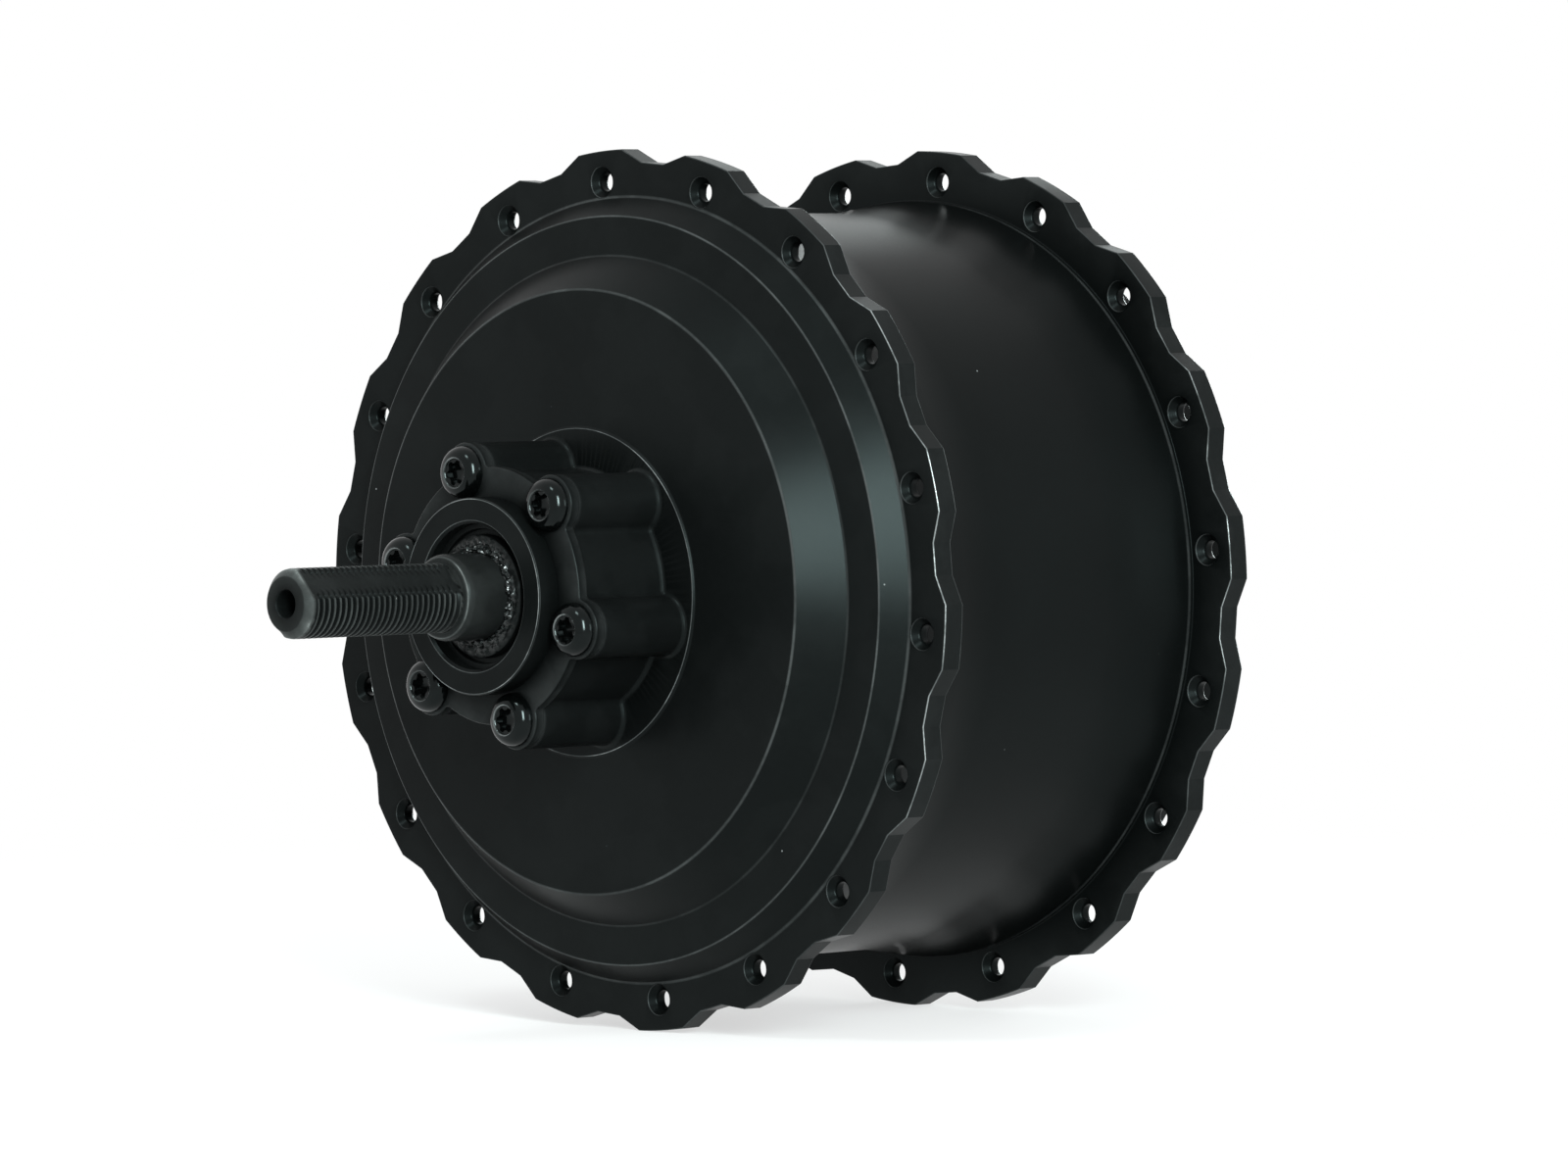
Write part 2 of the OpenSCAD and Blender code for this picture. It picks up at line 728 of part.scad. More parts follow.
module stator_circlip() {
    color("gray") lay() at(hub_z - circlip_t - 0.1) circlip(stator_seat_r - circlip_groove, 90);
}

module stator_hub() {
    rim_in = core_bore_r - 4;
    web_mid = (hub_z + collar_z) / 2;
    color("lightgray") lay()
        difference() {
            union() {
                rod(hub_z, collar_z, hub_boss_d / 2);
                rod(web_mid - web_t / 2, web_mid + web_t / 2, core_bore_r - 1);
                tube(stack_z + 1, stack_end - 1, core_bore_r, rim_in);
            }
            rod(hub_z - over, collar_z + over, stator_seat_r);
            translate([-key_w / 2, -stator_seat_r - key_w / 2, hub_z - over])
                cube([key_w, key_w, collar_z - hub_z + 2 * over]);
            around(6, (hub_boss_d / 2 + rim_in) / 2, 30)
                rod(hub_z - over, collar_z + over, (rim_in - hub_boss_d / 2) / 2 - 1);
        }
}

module core_shape(extra, tips) {
    union() {
        difference() {
            circle(slot_floor_r, $fn = fine);
            circle(core_bore_r, $fn = fine);
        }
        intersection() {
            circle(stator_r, $fn = fine);
            for (i = [0:tooth_count - 1])
                rotate(90 + i * 360 / tooth_count)
                    translate([slot_floor_r - 1.5, -tooth_w / 2 - extra])
                        square([stator_r, tooth_w + 2 * extra]);
        }
        if (tips)
            difference() {
                circle(stator_r, $fn = fine);
                circle(stator_r - tip_t, $fn = fine);
                for (i = [0:tooth_count - 1])
                    rotate(90 + (i + 0.5) * 360 / tooth_count)
                        translate([0, -slot_gap / 2]) square([stator_r + over, slot_gap]);
            }
    }
}

module stator_core() {
    color("slategray") lay() at(stack_z) linear_extrude(height = stack_len) core_shape(0, true);
}

module end_insulator() {
    liner = stack_len / 2 - 0.2;
    linear_extrude(height = end_insulation)
        difference() {
            core_shape(side_insulation, false);
            circle(core_bore_r + 1.5, $fn = fine);
        }
    at(-liner)
        linear_extrude(height = liner + 0.1)
            intersection() {
                difference() {
                    core_shape(side_insulation, false);
                    core_shape(0, false);
                }
                difference() {
                    circle(stator_r - tip_t - 0.2, $fn = fine);
                    circle(slot_floor_r + 0.2, $fn = fine);
                }
            }
}

module slot_insulators() {
    color("ivory") lay() {
        at(stack_end) end_insulator();
        at(stack_z) mirror([0, 0, 1]) end_insulator();
    }
}

module coil() {
    inner_w = tooth_w + 2 * side_insulation;
    inner_l = stack_len + 2 * end_insulation;
    corner = coil_side;
    rotate([0, 90, 0])
        linear_extrude(height = coil_depth)
            difference() {
                union() {
                    square([inner_l + 2 * coil_end - 2 * corner, inner_w + 2 * coil_side], center = true);
                    square([inner_l + 2 * coil_end, inner_w + 2 * coil_side - 2 * corner], center = true);
                    for (x = [-1, 1])
                        for (y = [-1, 1])
                            translate([
                                x * (inner_l / 2 + coil_end - corner),
                                y * (inner_w / 2 + coil_side - corner)
                            ])
                                circle(corner, $fn = small);
                }
                square([inner_l, inner_w], center = true);
            }
}

module coils() {
    color("chocolate") lay()
        at(stack_z + stack_len / 2)
            around(tooth_count, coil_in_r, 90) coil();
}

module hall_board() {
    color("darkgreen") lay()
        intersection() {
            tube(board_z - board_t, board_z, stator_r - 0.8, slot_floor_r - 3, fine);
            at(board_z - board_t - over)
                linear_extrude(height = board_t + 2 * over)
                    polygon([
                        [0, 0],
                        for (i = [-1:1])
                            let (turn = hall_mid + i * 1.6 * tooth_step)
                                2 * stator_r * [cos(turn), sin(turn)]
                    ]);
        }
}

module hall_sensors() {
    color("black") lay()
        for (i = [-1:1])
            rotate([0, 0, hall_mid + i * tooth_step])
                translate([stator_r - 3.2, -1.9, board_z])
                    cube([1.6, 3.8, stack_z - board_z - 0.6]);
}

// A lead runs out of the axle, steps down past the laminations and ends on a coil.
// Its route is a list of [distance from the axis, height, slope].
function lead_route() =
    let (
        drop = lead_z - lead_end_z,
        turn = acos(1 - drop / 2 / lead_bend),
        half = lead_bend * sin(turn),
        steps = 4
    )
    concat(
        [[lead_start, lead_z, 0]],
        [
            for (i = [0:steps])
                let (a = turn * i / steps)
                [lead_turn + lead_bend * sin(a), lead_z - lead_bend * (1 - cos(a)), -a]
        ],
        [
            for (i = [steps - 1:-1:0])
                let (a = turn * i / steps)
                [lead_turn + 2 * half - lead_bend * sin(a), lead_end_z + lead_bend * (1 - cos(a)), -a]
        ],
        [[coil_in_r, lead_end_z, 0]]
    );

module lead(x) {
    sides = 12;
    route = lead_route();
    rings = len(route);
    points = [
        for (p = route)
            for (j = [0:sides - 1])
                let (a = j * 360 / sides, u = lead_d / 2 * cos(a), v = lead_d / 2 * sin(a))
                [x + u, p[0] - v * sin(p[2]), p[1] + v * cos(p[2])]
    ];
    walls = [
        for (i = [0:rings - 2])
            for (j = [0:sides - 1])
                let (k = (j + 1) % sides, low = i * sides, high = low + sides)
                each [[low + j, low + k, high + k], [low + j, high + k, high + j]]
    ];
    caps = [
        [for (j = [sides - 1:-1:0]) j],
        [for (j = [0:sides - 1]) (rings - 1) * sides + j]
    ];
    polyhedron(points, concat(walls, caps));
}

module phase_leads() {
    color("gold") lay() {
        lead(-lead_pitch);
        lead(0);
        lead(lead_pitch);
    }
}

// Bearings

module left_bearing_inner_ring() {
    color("silver") lay() at(left_bearing_z) inner_ring(journal_d, hub_bearing_d, hub_bearing_w);
}

module left_bearing_balls() {
    color("gainsboro") lay()
        at(left_bearing_z) ball_set(journal_d, hub_bearing_d, hub_bearing_w, hub_balls);
}

module left_bearing_outer_ring() {
    color("silver") lay() at(left_bearing_z) outer_ring(journal_d, hub_bearing_d, hub_bearing_w);
}

module right_bearing_inner_ring() {
    color("silver") lay() at(right_bearing_end) inner_ring(journal_d, hub_bearing_d, hub_bearing_w);
}

module right_bearing_balls() {
    color("gainsboro") lay()
        at(right_bearing_end) ball_set(journal_d, hub_bearing_d, hub_bearing_w, hub_balls);
}

module right_bearing_outer_ring() {
    color("silver") lay() at(right_bearing_end) outer_ring(journal_d, hub_bearing_d, hub_bearing_w);
}

module rotor_left_inner_ring() {
    color("silver") lay() at(rotor_left_z) inner_ring(rotor_seat_d, rotor_bearing_d, rotor_bearing_w);
}

module rotor_left_balls() {
    color("gainsboro") lay()
        at(rotor_left_z) ball_set(rotor_seat_d, rotor_bearing_d, rotor_bearing_w, rotor_balls);
}

module rotor_left_outer_ring() {
    color("silver") lay() at(rotor_left_z) outer_ring(rotor_seat_d, rotor_bearing_d, rotor_bearing_w);
}

module rotor_right_inner_ring() {
    color("silver") lay() at(rotor_right_z) inner_ring(rotor_seat_d, rotor_bearing_d, rotor_bearing_w);
}

module rotor_right_balls() {
    color("gainsboro") lay()
        at(rotor_right_z) ball_set(rotor_seat_d, rotor_bearing_d, rotor_bearing_w, rotor_balls);
}

module rotor_right_outer_ring() {
    color("silver") lay() at(rotor_right_z) outer_ring(rotor_seat_d, rotor_bearing_d, rotor_bearing_w);
}

// One-way clutch and planet carrier

module clutch_key() {
    color("silver") lay()
        translate([-key_w / 2, -axle_r - key_w / 4, clutch_far_z + 1])
            cube([key_w, key_w * 3 / 4 - 0.5, clutch_near_z - clutch_far_z - 2]);
}

module clutch_inner_race() {
    color("gray") lay()
        difference() {
            tube(clutch_far_z, clutch_near_z, race_r, axle_r);
            translate([-key_w / 2, -axle_r - key_w / 4, clutch_far_z - over])
                cube([key_w, key_w, clutch_near_z - clutch_far_z + 2 * over]);
        }
}

module clutch_rollers() {
    color("silver") lay()
        around(roller_count, roller_mid_r)
            rod(clutch_far_z + 0.6, clutch_near_z - 0.6, roller_r - 0.02, small);
}

module clutch_cage() {
    band = roller_r * 0.5;
    color("white") lay()
        difference() {
            tube(clutch_far_z + 0.2, clutch_near_z - 0.2, roller_mid_r + band, roller_mid_r - band);
            around(roller_count, roller_mid_r)
                rod(clutch_far_z + 0.5, clutch_near_z - 0.5, roller_r + 0.1, small);
        }
}

module clutch_circlip() {
    color("gray") lay() at(clutch_far_z - circlip_t - 0.05) circlip(axle_r - circlip_groove, 90);
}

module planet_carrier() {
    color("darkgray") lay()
        difference() {
            union() {
                rod(carrier_z - carrier_t, carrier_z, carrier_r);
                rod(clutch_far_z, carrier_z, outer_race_r + race_wall);
                around(planet_count, post_circle_r, post_first)
                    rod(carrier_z - 0.1, front_plate_z, post_r, 48);
            }
            rod(clutch_far_z - over, carrier_z + over, outer_race_r);
            around(planet_count, centre_r, planet_first)
                rod(carrier_z - carrier_t - over, carrier_z + over, pin_r, 48);
            around(planet_count, post_circle_r, post_first)
                rod(front_plate_z + front_plate_t - carrier_screw_len - 2, front_plate_z + over,
                    carrier_screw_d / 2, small);
            around(planet_count, post_circle_r, post_first + 24)
                rod(carrier_z - carrier_t - over, carrier_z + over, 2.5, small);
            around(planet_count, post_circle_r, post_first - 24)
                rod(carrier_z - carrier_t - over, carrier_z + over, 2.5, small);
        }
}

module carrier_front_plate() {
    head_d = carrier_screw_d * 1.7;
    sink = (head_d - carrier_screw_d) / 2;
    color("darkgray") lay()
        difference() {
            tube(front_plate_z, front_plate_z + front_plate_t,
                 post_circle_r + post_r, centre_r - pin_r - 1.5);
            around(planet_count, centre_r, planet_first)
                rod(front_plate_z - over, front_plate_z + front_plate_t + over, pin_r, 48);
            around(planet_count, post_circle_r, post_first) {
                rod(front_plate_z - over, front_plate_z + front_plate_t + over, carrier_screw_d / 2, small);
                at(front_plate_z + front_plate_t - sink)
                    cylinder(h = sink, r1 = carrier_screw_d / 2, r2 = head_d / 2, $fn = small);
            }
        }
}

module carrier_screws() {
    color("gray") lay()
        around(planet_count, post_circle_r, post_first)
            at(front_plate_z + front_plate_t)
                flush_screw(carrier_screw_d, carrier_screw_len, carrier_screw_d * 1.7);
}

module planet_pins() {
    color("silver") lay()
        around(planet_count, centre_r, planet_first)
            rod(carrier_z - carrier_t, front_plate_z + front_plate_t, pin_r, 48);
}

module thrust_washers() {
    color("goldenrod") lay()
        around(planet_count, centre_r, planet_first) {
            tube(carrier_z, carrier_z + washer_t, bush_out_r, pin_r, 48);
            tube(front_plate_z - washer_t, front_plate_z, bush_out_r, pin_r, 48);
        }
}

module at_planet(i) {
    rotate([0, 0, planet_first + i * planet_step]) translate([centre_r, 0, 0]) children();
}

module planet_gear(i) {
    place = planet_first + i * planet_step;
    color("ivory") lay()
        at_planet(i)
            difference() {
                at(planet_far)
                    rotate([0, 0, -place * ring_teeth / planet_teeth])
                        outer_teeth(planet_teeth, planet_w);
                rod(planet_far - over, planet_near + over, bush_out_r, 48);
            }
}

module planet_bush(i) {
    color("darkkhaki") lay() at_planet(i) tube(planet_far, planet_near, bush_out_r, bush_r, 48);
}

module planet_gear_1() {
    planet_gear(0);
}

module planet_gear_2() {
    planet_gear(1);
}

module planet_gear_3() {
    planet_gear(2);
}

module planet_bush_1() {
    planet_bush(0);
}

module planet_bush_2() {
    planet_bush(1);
}

module planet_bush_3() {
    planet_bush(2);
}

// Rotor

module sun_gear() {
    color("gray") lay()
        difference() {
            union() {
                at(sun_end_z) rotate([0, 0, sun_turn]) outer_teeth(sun_teeth, plate_right_z - sun_end_z);
                rod(plate_right_z - sun_flange_t, plate_right_z, sun_flange_r);
            }
            rod(sun_end_z - over, plate_right_z + over, sun_bore_r);
            around(sun_screw_count, sun_screw_r) {
                rod(plate_right_z - sun_flange_t - over, plate_right_z + over, sun_screw_d / 2, small);
                at(plate_right_z - sun_flange_t)
                    cylinder(h = 1.2, r1 = sun_screw_d / 2 + 1.2, r2 = sun_screw_d / 2, $fn = small);
            }
        }
}

module sun_gear_screws() {
    color("silver") lay()
        around(sun_screw_count, sun_screw_r)
            at(plate_right_z - sun_flange_t)
                rotate([180, 0, 0]) flush_screw(sun_screw_d, sun_flange_t + plate_t, sun_screw_d + 2.4);
}

module rotor_can() {
    color("dimgray") lay() tube(can_right_z, can_left_z, can_r, magnet_r, fine);
}

module rotor_magnets() {
    half = 180 / magnet_count * magnet_fill;
    far = 2 * can_r;
    color("lightsteelblue") lay()
        for (i = [0:magnet_count - 1])
            rotate([0, 0, i * 360 / magnet_count])
                intersection() {
                    tube(magnet_z, magnet_z + magnet_len, magnet_r, magnet_r - magnet_t, fine);
                    at(magnet_z - over)
                        linear_extrude(height = magnet_len + 2 * over)
                            polygon([[0, 0], far * [cos(half), -sin(half)], far * [cos(half), sin(half)]]);
                }
}

module rotor_end_plate() {
    collar_end = rotor_right_z + rotor_bearing_w;
    color("darkgray") lay()
        difference() {
            union() {
                rod(plate_right_z, can_right_z, can_r, fine);
                rod(plate_right_z, collar_end, rotor_bearing_r + bearing_collar);
            }
            rod(plate_right_z - over, collar_end + over, rotor_bearing_r - 4);
            rod(rotor_right_z, collar_end + over, rotor_bearing_r);
            around(vent_count, vent_r) rod(plate_right_z - over, over, vent_d / 2, 48);
            around(sun_screw_count, sun_screw_r)
                rod(plate_right_z - over, can_right_z + over, sun_screw_d / 2, small);
        }
}

module rotor_back_plate() {
    collar_end = rotor_left_z + rotor_bearing_w;
    color("darkgray") lay()
        difference() {
            union() {
                rod(can_left_z, can_left_z + plate_t, can_r, fine);
                rod(can_left_z - 0.5, collar_end, rotor_bearing_r + bearing_collar);
            }
            rod(can_left_z - over, collar_end + over, rotor_bearing_r);
            around(vent_count, vent_r)
                rod(can_left_z - over, can_left_z + plate_t + over, vent_d / 2, 48);
        }
}

// Shell

// Cutters that shape the valleys between a flange's lobes
module valleys(z) {
    side = (spoke_step - lobe_angle) / 2;
    floor_corner = valley_r * [cos(valley_angle / 2), sin(valley_angle / 2)];
    lobe_corner = flange_r * [cos(side), sin(side)];
    past = mix(floor_corner, lobe_corner, 1.3);
    for (i = [0:spoke_count - 1])
        rotate([0, 0, (i + 0.5) * spoke_step])
            at(z - over)
                linear_extrude(height = flange_t + 2 * over)
                    polygon([
                        [floor_corner[0], -floor_corner[1]],
                        [past[0], -past[1]],
                        [flange_r + over, 0],
                        past,
                        floor_corner
                    ]);
}

module spoke_holes(z) {
    depth = sink_r - spoke_r;
    around(spoke_count, spoke_circle_r)
        at(z)
            rotate_extrude($fn = small)
                polygon([
                    [0, -over],
                    [sink_r + over, -over],
                    [spoke_r, depth],
                    [spoke_r, flange_t - depth],
                    [sink_r + over, flange_t + over],
                    [0, flange_t + over],
                ]);
}

module shell_body() {
    slope = cone_run / (cone_top_h - cone_foot_h);
    corner_r = cone_foot_r - wall_t * 0.62;
    turned([
        [seal_bore_r, left_bearing_end, 0],
        [seal_bore_r, spigot_z - 0.5, 0],
        [seal_bore_r + 0.5, spigot_z, 0],
        [spigot_r - 0.7, spigot_z, 0],
        [spigot_r, spigot_z - 0.7, 0],
        [spigot_r, disc_z - rim_drop, 0],
        [rim_r - 0.4, disc_z - rim_drop, 0],
        [rim_r, disc_z - rim_drop - 0.4, 0],
        [rim_r, disc_z - rim_t, 0],
        [boss_r, disc_z - rim_t - 0.6, 0],
        [boss_r, pad_z + pad_h, 1],
        [pad_r - 0.2, pad_z + pad_h, 0],
        [pad_r + 0.3, pad_z, 0],
        [cone_top_r, face_z, soft],
        [cone_foot_r, left_face + cone_foot_h, soft],
        [step_r, left_face + step_h, 0.7],
        [skirt_r, left_face, 0.8],
        [flange_r, left_face, 0],
        [flange_r, left_in, 0],
        [flare_r, left_in, 0.5],
        [flare_r, left_in - ridge_w, 0],
        [barrel_r, left_in - flare_len, 4],
        [barrel_r, right_in + flare_len, 4],
        [flare_r, right_in + ridge_w, 0],
        [flare_r, right_in, 0.5],
        [flange_r, right_in, 0],
        [flange_r, right_end, 0],
        [ring_seat_r, right_end, 0],
        [ring_seat_r, ring_near, 0],
        [cavity_r, ring_near, 0],
        [cavity_r, corner_z, 2],
        [corner_r, corner_z, 1],
        [corner_r - slope * (wall_z - corner_z), wall_z, 1],
        [hub_bearing_r, wall_z, 0],
        [hub_bearing_r, left_bearing_end, 0]
    ]);
}

module boss_lobe() {
    at(pad_z) cylinder(h = disc_z - pad_z - lobe_chamfer, r = lobe_r, $fn = 48);
    at(disc_z - lobe_chamfer) cylinder(h = lobe_chamfer, r1 = lobe_r, r2 = lobe_r - lobe_chamfer, $fn = 48);
}

module hub_shell() {
    color([0.08, 0.08, 0.085]) lay()
        difference() {
            union() {
                shell_body();
                around(disc_count, disc_r, disc_phase) boss_lobe();
            }
            rotate([0, 0, spoke_phase]) {
                valleys(left_in);
                spoke_holes(left_in);
            }
            rotate([0, 0, spoke_phase + spoke_step / 2]) {
                valleys(right_end);
                spoke_holes(right_end);
            }
            around(disc_count, disc_r, disc_phase)
                rod(disc_z - disc_hole_depth, disc_z + over, disc_screw_d / 2, small);
            around(cover_count, cover_screw_r, cover_phase)
                rod(right_end - over, cover_rim_z + cover_screw_len + 0.6, cover_tap_r, small);
            around(dowel_count, ring_seat_r) rod(right_end - over, dowel_end, dowel_d / 2, small);
        }
}

module disc_screws() {
    color([0.12, 0.12, 0.12]) lay()
        around(disc_count, disc_r, disc_phase)
            at(disc_z)
                button_screw(disc_screw_d, disc_screw_len, disc_head_d, disc_top_d, disc_head_h,
                             disc_socket_d, disc_socket_depth);
}

// Seal with a raised lip round the axle, its outer end at z = 0 and its body reaching down
module seal_ring() {
    lip_r = axle_r + lip_gap;
    lip_out = seal_bore_r - 1.98;
    turned([
        [lip_r, 0, 0],
        [lip_out - 0.4, 0, 0],
        [lip_out, -0.5, 0],
        [lip_out, -2, 0],
        [seal_bore_r - 1, -2, 0],
        [seal_bore_r - 1, -1, 0],
        [seal_bore_r, -1, 0],
        [seal_bore_r, -seal_w, 0],
        [lip_r + 1, -seal_w, 0],
        [lip_r, -seal_w + 1, 0]
    ], 96);
}

module left_seal() {
    color([0.15, 0.15, 0.15]) lay() at(spigot_z - seal_sink) seal_ring();
}

module right_seal() {
    color([0.15, 0.15, 0.15]) lay() at(boss_end_z + seal_sink) mirror([0, 0, 1]) seal_ring();
}

module ring_gear() {
    color("whitesmoke") lay()
        difference() {
            rod(ring_far, ring_near, ring_seat_r, fine);
            at(ring_far - over) inner_teeth(ring_teeth, ring_w + 2 * over);
            around(dowel_count, ring_seat_r) rod(ring_far - over, dowel_end, dowel_d / 2, small);
        }
}

module ring_gear_dowels() {
    color("silver") lay() around(dowel_count, ring_seat_r) rod(ring_far, dowel_end, dowel_d / 2, small);
}

module cover_gasket() {
    color([0.2, 0.2, 0.22]) lay()
        difference() {
            tube(cover_base, right_end, flare_r - 0.6, ring_seat_r, fine);
            around(cover_count, cover_screw_r, cover_phase)
                rod(cover_base - over, right_end + over, cover_screw_d / 2, small);
        }
}

module right_cover() {
    slope = cover_cone_run / cover_rise;
    inner_foot_r = cover_foot_r - cover_wall * 0.9;
    color([0.09, 0.09, 0.095]) lay()
        difference() {
            turned([
                [seal_bore_r, right_bearing_end, 0],
                [seal_bore_r, boss_end_z + 0.5, 0],
                [seal_bore_r + 0.5, boss_end_z, 0],
                [freewheel_d / 2 - 0.9, boss_end_z, 0],
                [freewheel_d / 2, boss_end_z + 0.9, 0],
                [freewheel_d / 2, seat_z, 0],
                [seat_d / 2 - 0.4, seat_z, 0],
                [seat_d / 2, seat_z + 0.4, 0],
                [seat_d / 2, cover_face_z + 0.6, 0],
                [cover_face_r, cover_face_z + 1, soft],
                [cover_foot_r, cover_rim_z, soft],
                [flare_r - 0.8, cover_rim_z, 0],
                [flare_r, cover_rim_z + 0.8, 0],
                [flare_r, cover_base, 0],
                [cover_spigot_r, cover_base, 0],
                [cover_spigot_r, ring_far, 0],
                [inner_foot_r, ring_far, 0],
                [inner_foot_r, cover_base, 0.5],
                [inner_foot_r - slope * (cover_base - cover_in_z), cover_in_z, 1],
                [hub_bearing_r + 4, cover_in_z, 0],
                [hub_bearing_r + 3.6, right_bearing_z, 0],
                [hub_bearing_r, right_bearing_z, 0],
                [hub_bearing_r, right_bearing_end, 0]
            ]);
            around(cover_count, cover_screw_r, cover_phase)
                rod(cover_rim_z - over, cover_base + over, cover_screw_d / 2, small);
        }
}

module cover_screws() {
    color([0.35, 0.35, 0.35]) lay()
        around(cover_count, cover_screw_r, cover_phase)
            at(cover_rim_z)
                rotate([180, 0, 0])
                    button_screw(2 * cover_tap_r, cover_screw_len, cover_head_d, cover_head_d * 0.62,
                                 cover_head_h, cover_socket_d, cover_head_h * 0.7);
}

axle();
stator_key();
stator_hub();
stator_core();
slot_insulators();
coils();
hall_board();
hall_sensors();
phase_leads();
stator_circlip();
left_bearing_inner_ring();
left_bearing_balls();
left_bearing_outer_ring();
right_bearing_inner_ring();
right_bearing_balls();
right_bearing_outer_ring();
rotor_left_inner_ring();
rotor_left_balls();
rotor_left_outer_ring();
rotor_right_inner_ring();
rotor_right_balls();
rotor_right_outer_ring();
clutch_key();
clutch_inner_race();
clutch_rollers();
clutch_cage();
clutch_circlip();
planet_carrier();
carrier_front_plate();
carrier_screws();
planet_pins();
thrust_washers();
planet_gear_1();
planet_gear_2();
planet_gear_3();
planet_bush_1();
planet_bush_2();
planet_bush_3();
sun_gear();
sun_gear_screws();
rotor_can();
rotor_magnets();
rotor_end_plate();
rotor_back_plate();
hub_shell();
disc_screws();
left_seal();
ring_gear();
ring_gear_dowels();
cover_gasket();
right_cover();
cover_screws();
right_seal();
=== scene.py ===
"""The looks of a geared hub motor for a fat tire bicycle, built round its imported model.

Every piece is drawn with the axle along +Z and the disc side up, in millimetres, and then laid down
into the model's own frame: the axle along Y, the disc side facing -Y and +Z up, in metres.
"""
from __future__ import annotations

import json
import logging
import math
from collections.abc import Callable, Sequence
from dataclasses import dataclass
from enum import Enum

import bmesh
import bpy
from mathutils import Matrix, Quaternion, Vector, noise


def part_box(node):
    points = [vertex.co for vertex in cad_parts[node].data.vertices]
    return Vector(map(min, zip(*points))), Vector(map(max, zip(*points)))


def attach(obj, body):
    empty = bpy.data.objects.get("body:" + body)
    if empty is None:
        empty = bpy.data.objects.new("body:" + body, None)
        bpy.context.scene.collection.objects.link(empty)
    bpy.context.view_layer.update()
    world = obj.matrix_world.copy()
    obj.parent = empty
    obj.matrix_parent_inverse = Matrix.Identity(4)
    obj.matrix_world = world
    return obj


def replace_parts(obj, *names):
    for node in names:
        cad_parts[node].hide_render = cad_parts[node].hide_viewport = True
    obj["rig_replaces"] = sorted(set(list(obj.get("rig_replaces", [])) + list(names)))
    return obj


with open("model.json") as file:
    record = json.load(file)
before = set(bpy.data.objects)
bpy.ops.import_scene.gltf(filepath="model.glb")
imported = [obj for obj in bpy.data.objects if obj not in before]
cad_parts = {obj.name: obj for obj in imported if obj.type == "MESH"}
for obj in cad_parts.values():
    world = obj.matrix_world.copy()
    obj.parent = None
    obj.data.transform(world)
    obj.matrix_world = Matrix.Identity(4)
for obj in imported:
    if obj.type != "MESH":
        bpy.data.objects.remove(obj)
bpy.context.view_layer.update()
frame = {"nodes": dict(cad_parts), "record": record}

MM = 0.001
TINY = 1e-6
SEAL_BORE_R = 12.6
BEARING_R = 16.0
Point = tuple[float, float, float]
Color = tuple[float, float, float]
Shape = Callable[[float, float], float]
log = logging.getLogger("hub_motor")


# Angles and places

def mixed(a: float, b: float, t: float) -> float:
    """Returns the value at share t of the way from a to b."""
    return a + (b - a) * t


def limited(value: float, low: float = 0.0, high: float = 1.0) -> float:
    """Returns the value, held between two limits."""
    return max(low, min(high, value))


def even_angles(count: int, first: float = 0.0) -> list[float]:
    """Returns that many angles in degrees, evenly spread over a turn."""
    return [first + 360 * i / count for i in range(count)]


def quarter(steps: int) -> list[float]:
    """Returns the angles of a quarter turn in that many steps, in radians and with both ends."""
    return [math.pi / 2 * i / steps for i in range(steps + 1)]


def spot(angle: float, r: float, z: float) -> Matrix:
    """Returns the place at an angle in degrees, a radius and a height, turned away from the axis."""
    return Matrix.Rotation(math.radians(angle), 4, "Z") @ Matrix.Translation((r, 0, z))


class Side(Enum):
    """The two sides of the motor. The value is the sign of their heights."""

    DISC = 1
    COVER = -1


# Mesh making

@dataclass(frozen=True)
class Ring:
    """A corner or ring of a turned profile.

    The radius and height are in millimetres. A blend above zero rounds the corner over that length on
    each side. The wear is how far the coat is rubbed off there, from 0 to 1. A shape changes the radius
    with the angle.
    """

    r: float
    z: float
    blend: float = 0.0
    wear: float = 0.0
    shape: Shape | None = None


@dataclass(frozen=True)
class Outline:
    """A closed outline at one height, in millimetres, with its wear."""

    z: float
    points: Sequence[tuple[float, float]]
    wear: float


def rounded(corners: Sequence[Ring], steps: int = 6, share: float = 0.45) -> list[Ring]:
    """Rounds the corners of a closed profile.

    Args:
        corners: The profile's corners in order.
        steps: The number of steps in each rounded corner.
        share: The most of a side that one rounded corner takes.

    Returns:
        The profile's rings, with a short curve in place of each corner that has a blend.
    """
    rings: list[Ring] = []
    for i, corner in enumerate(corners):
        if corner.blend <= 0:
            rings.append(corner)
            continue
        here = Vector((corner.r, corner.z))
        ends = []
        for other in (corners[i - 1], corners[(i + 1) % len(corners)]):
            away = Vector((other.r, other.z)) - here
            ends.append(here + away.normalized() * min(corner.blend, share * away.length))
        for k in range(steps + 1):
            t = k / steps
            p = ends[0].lerp(here, t).lerp(here.lerp(ends[1], t), t)
            rings.append(Ring(p.x, p.y, 0, corner.wear * math.sin(math.pi * t), corner.shape))
    return rings


def linked(name: str, data: bpy.types.ID) -> bpy.types.Object:
    """Makes an object and puts it into the scene.

    Args:
        name: The object's name.
        data: What it holds: a mesh, a lamp's settings or a camera's.

    Returns:
        The object.
    """
    obj = bpy.data.objects.new(name, data)
    bpy.context.scene.collection.objects.link(obj)
    return obj


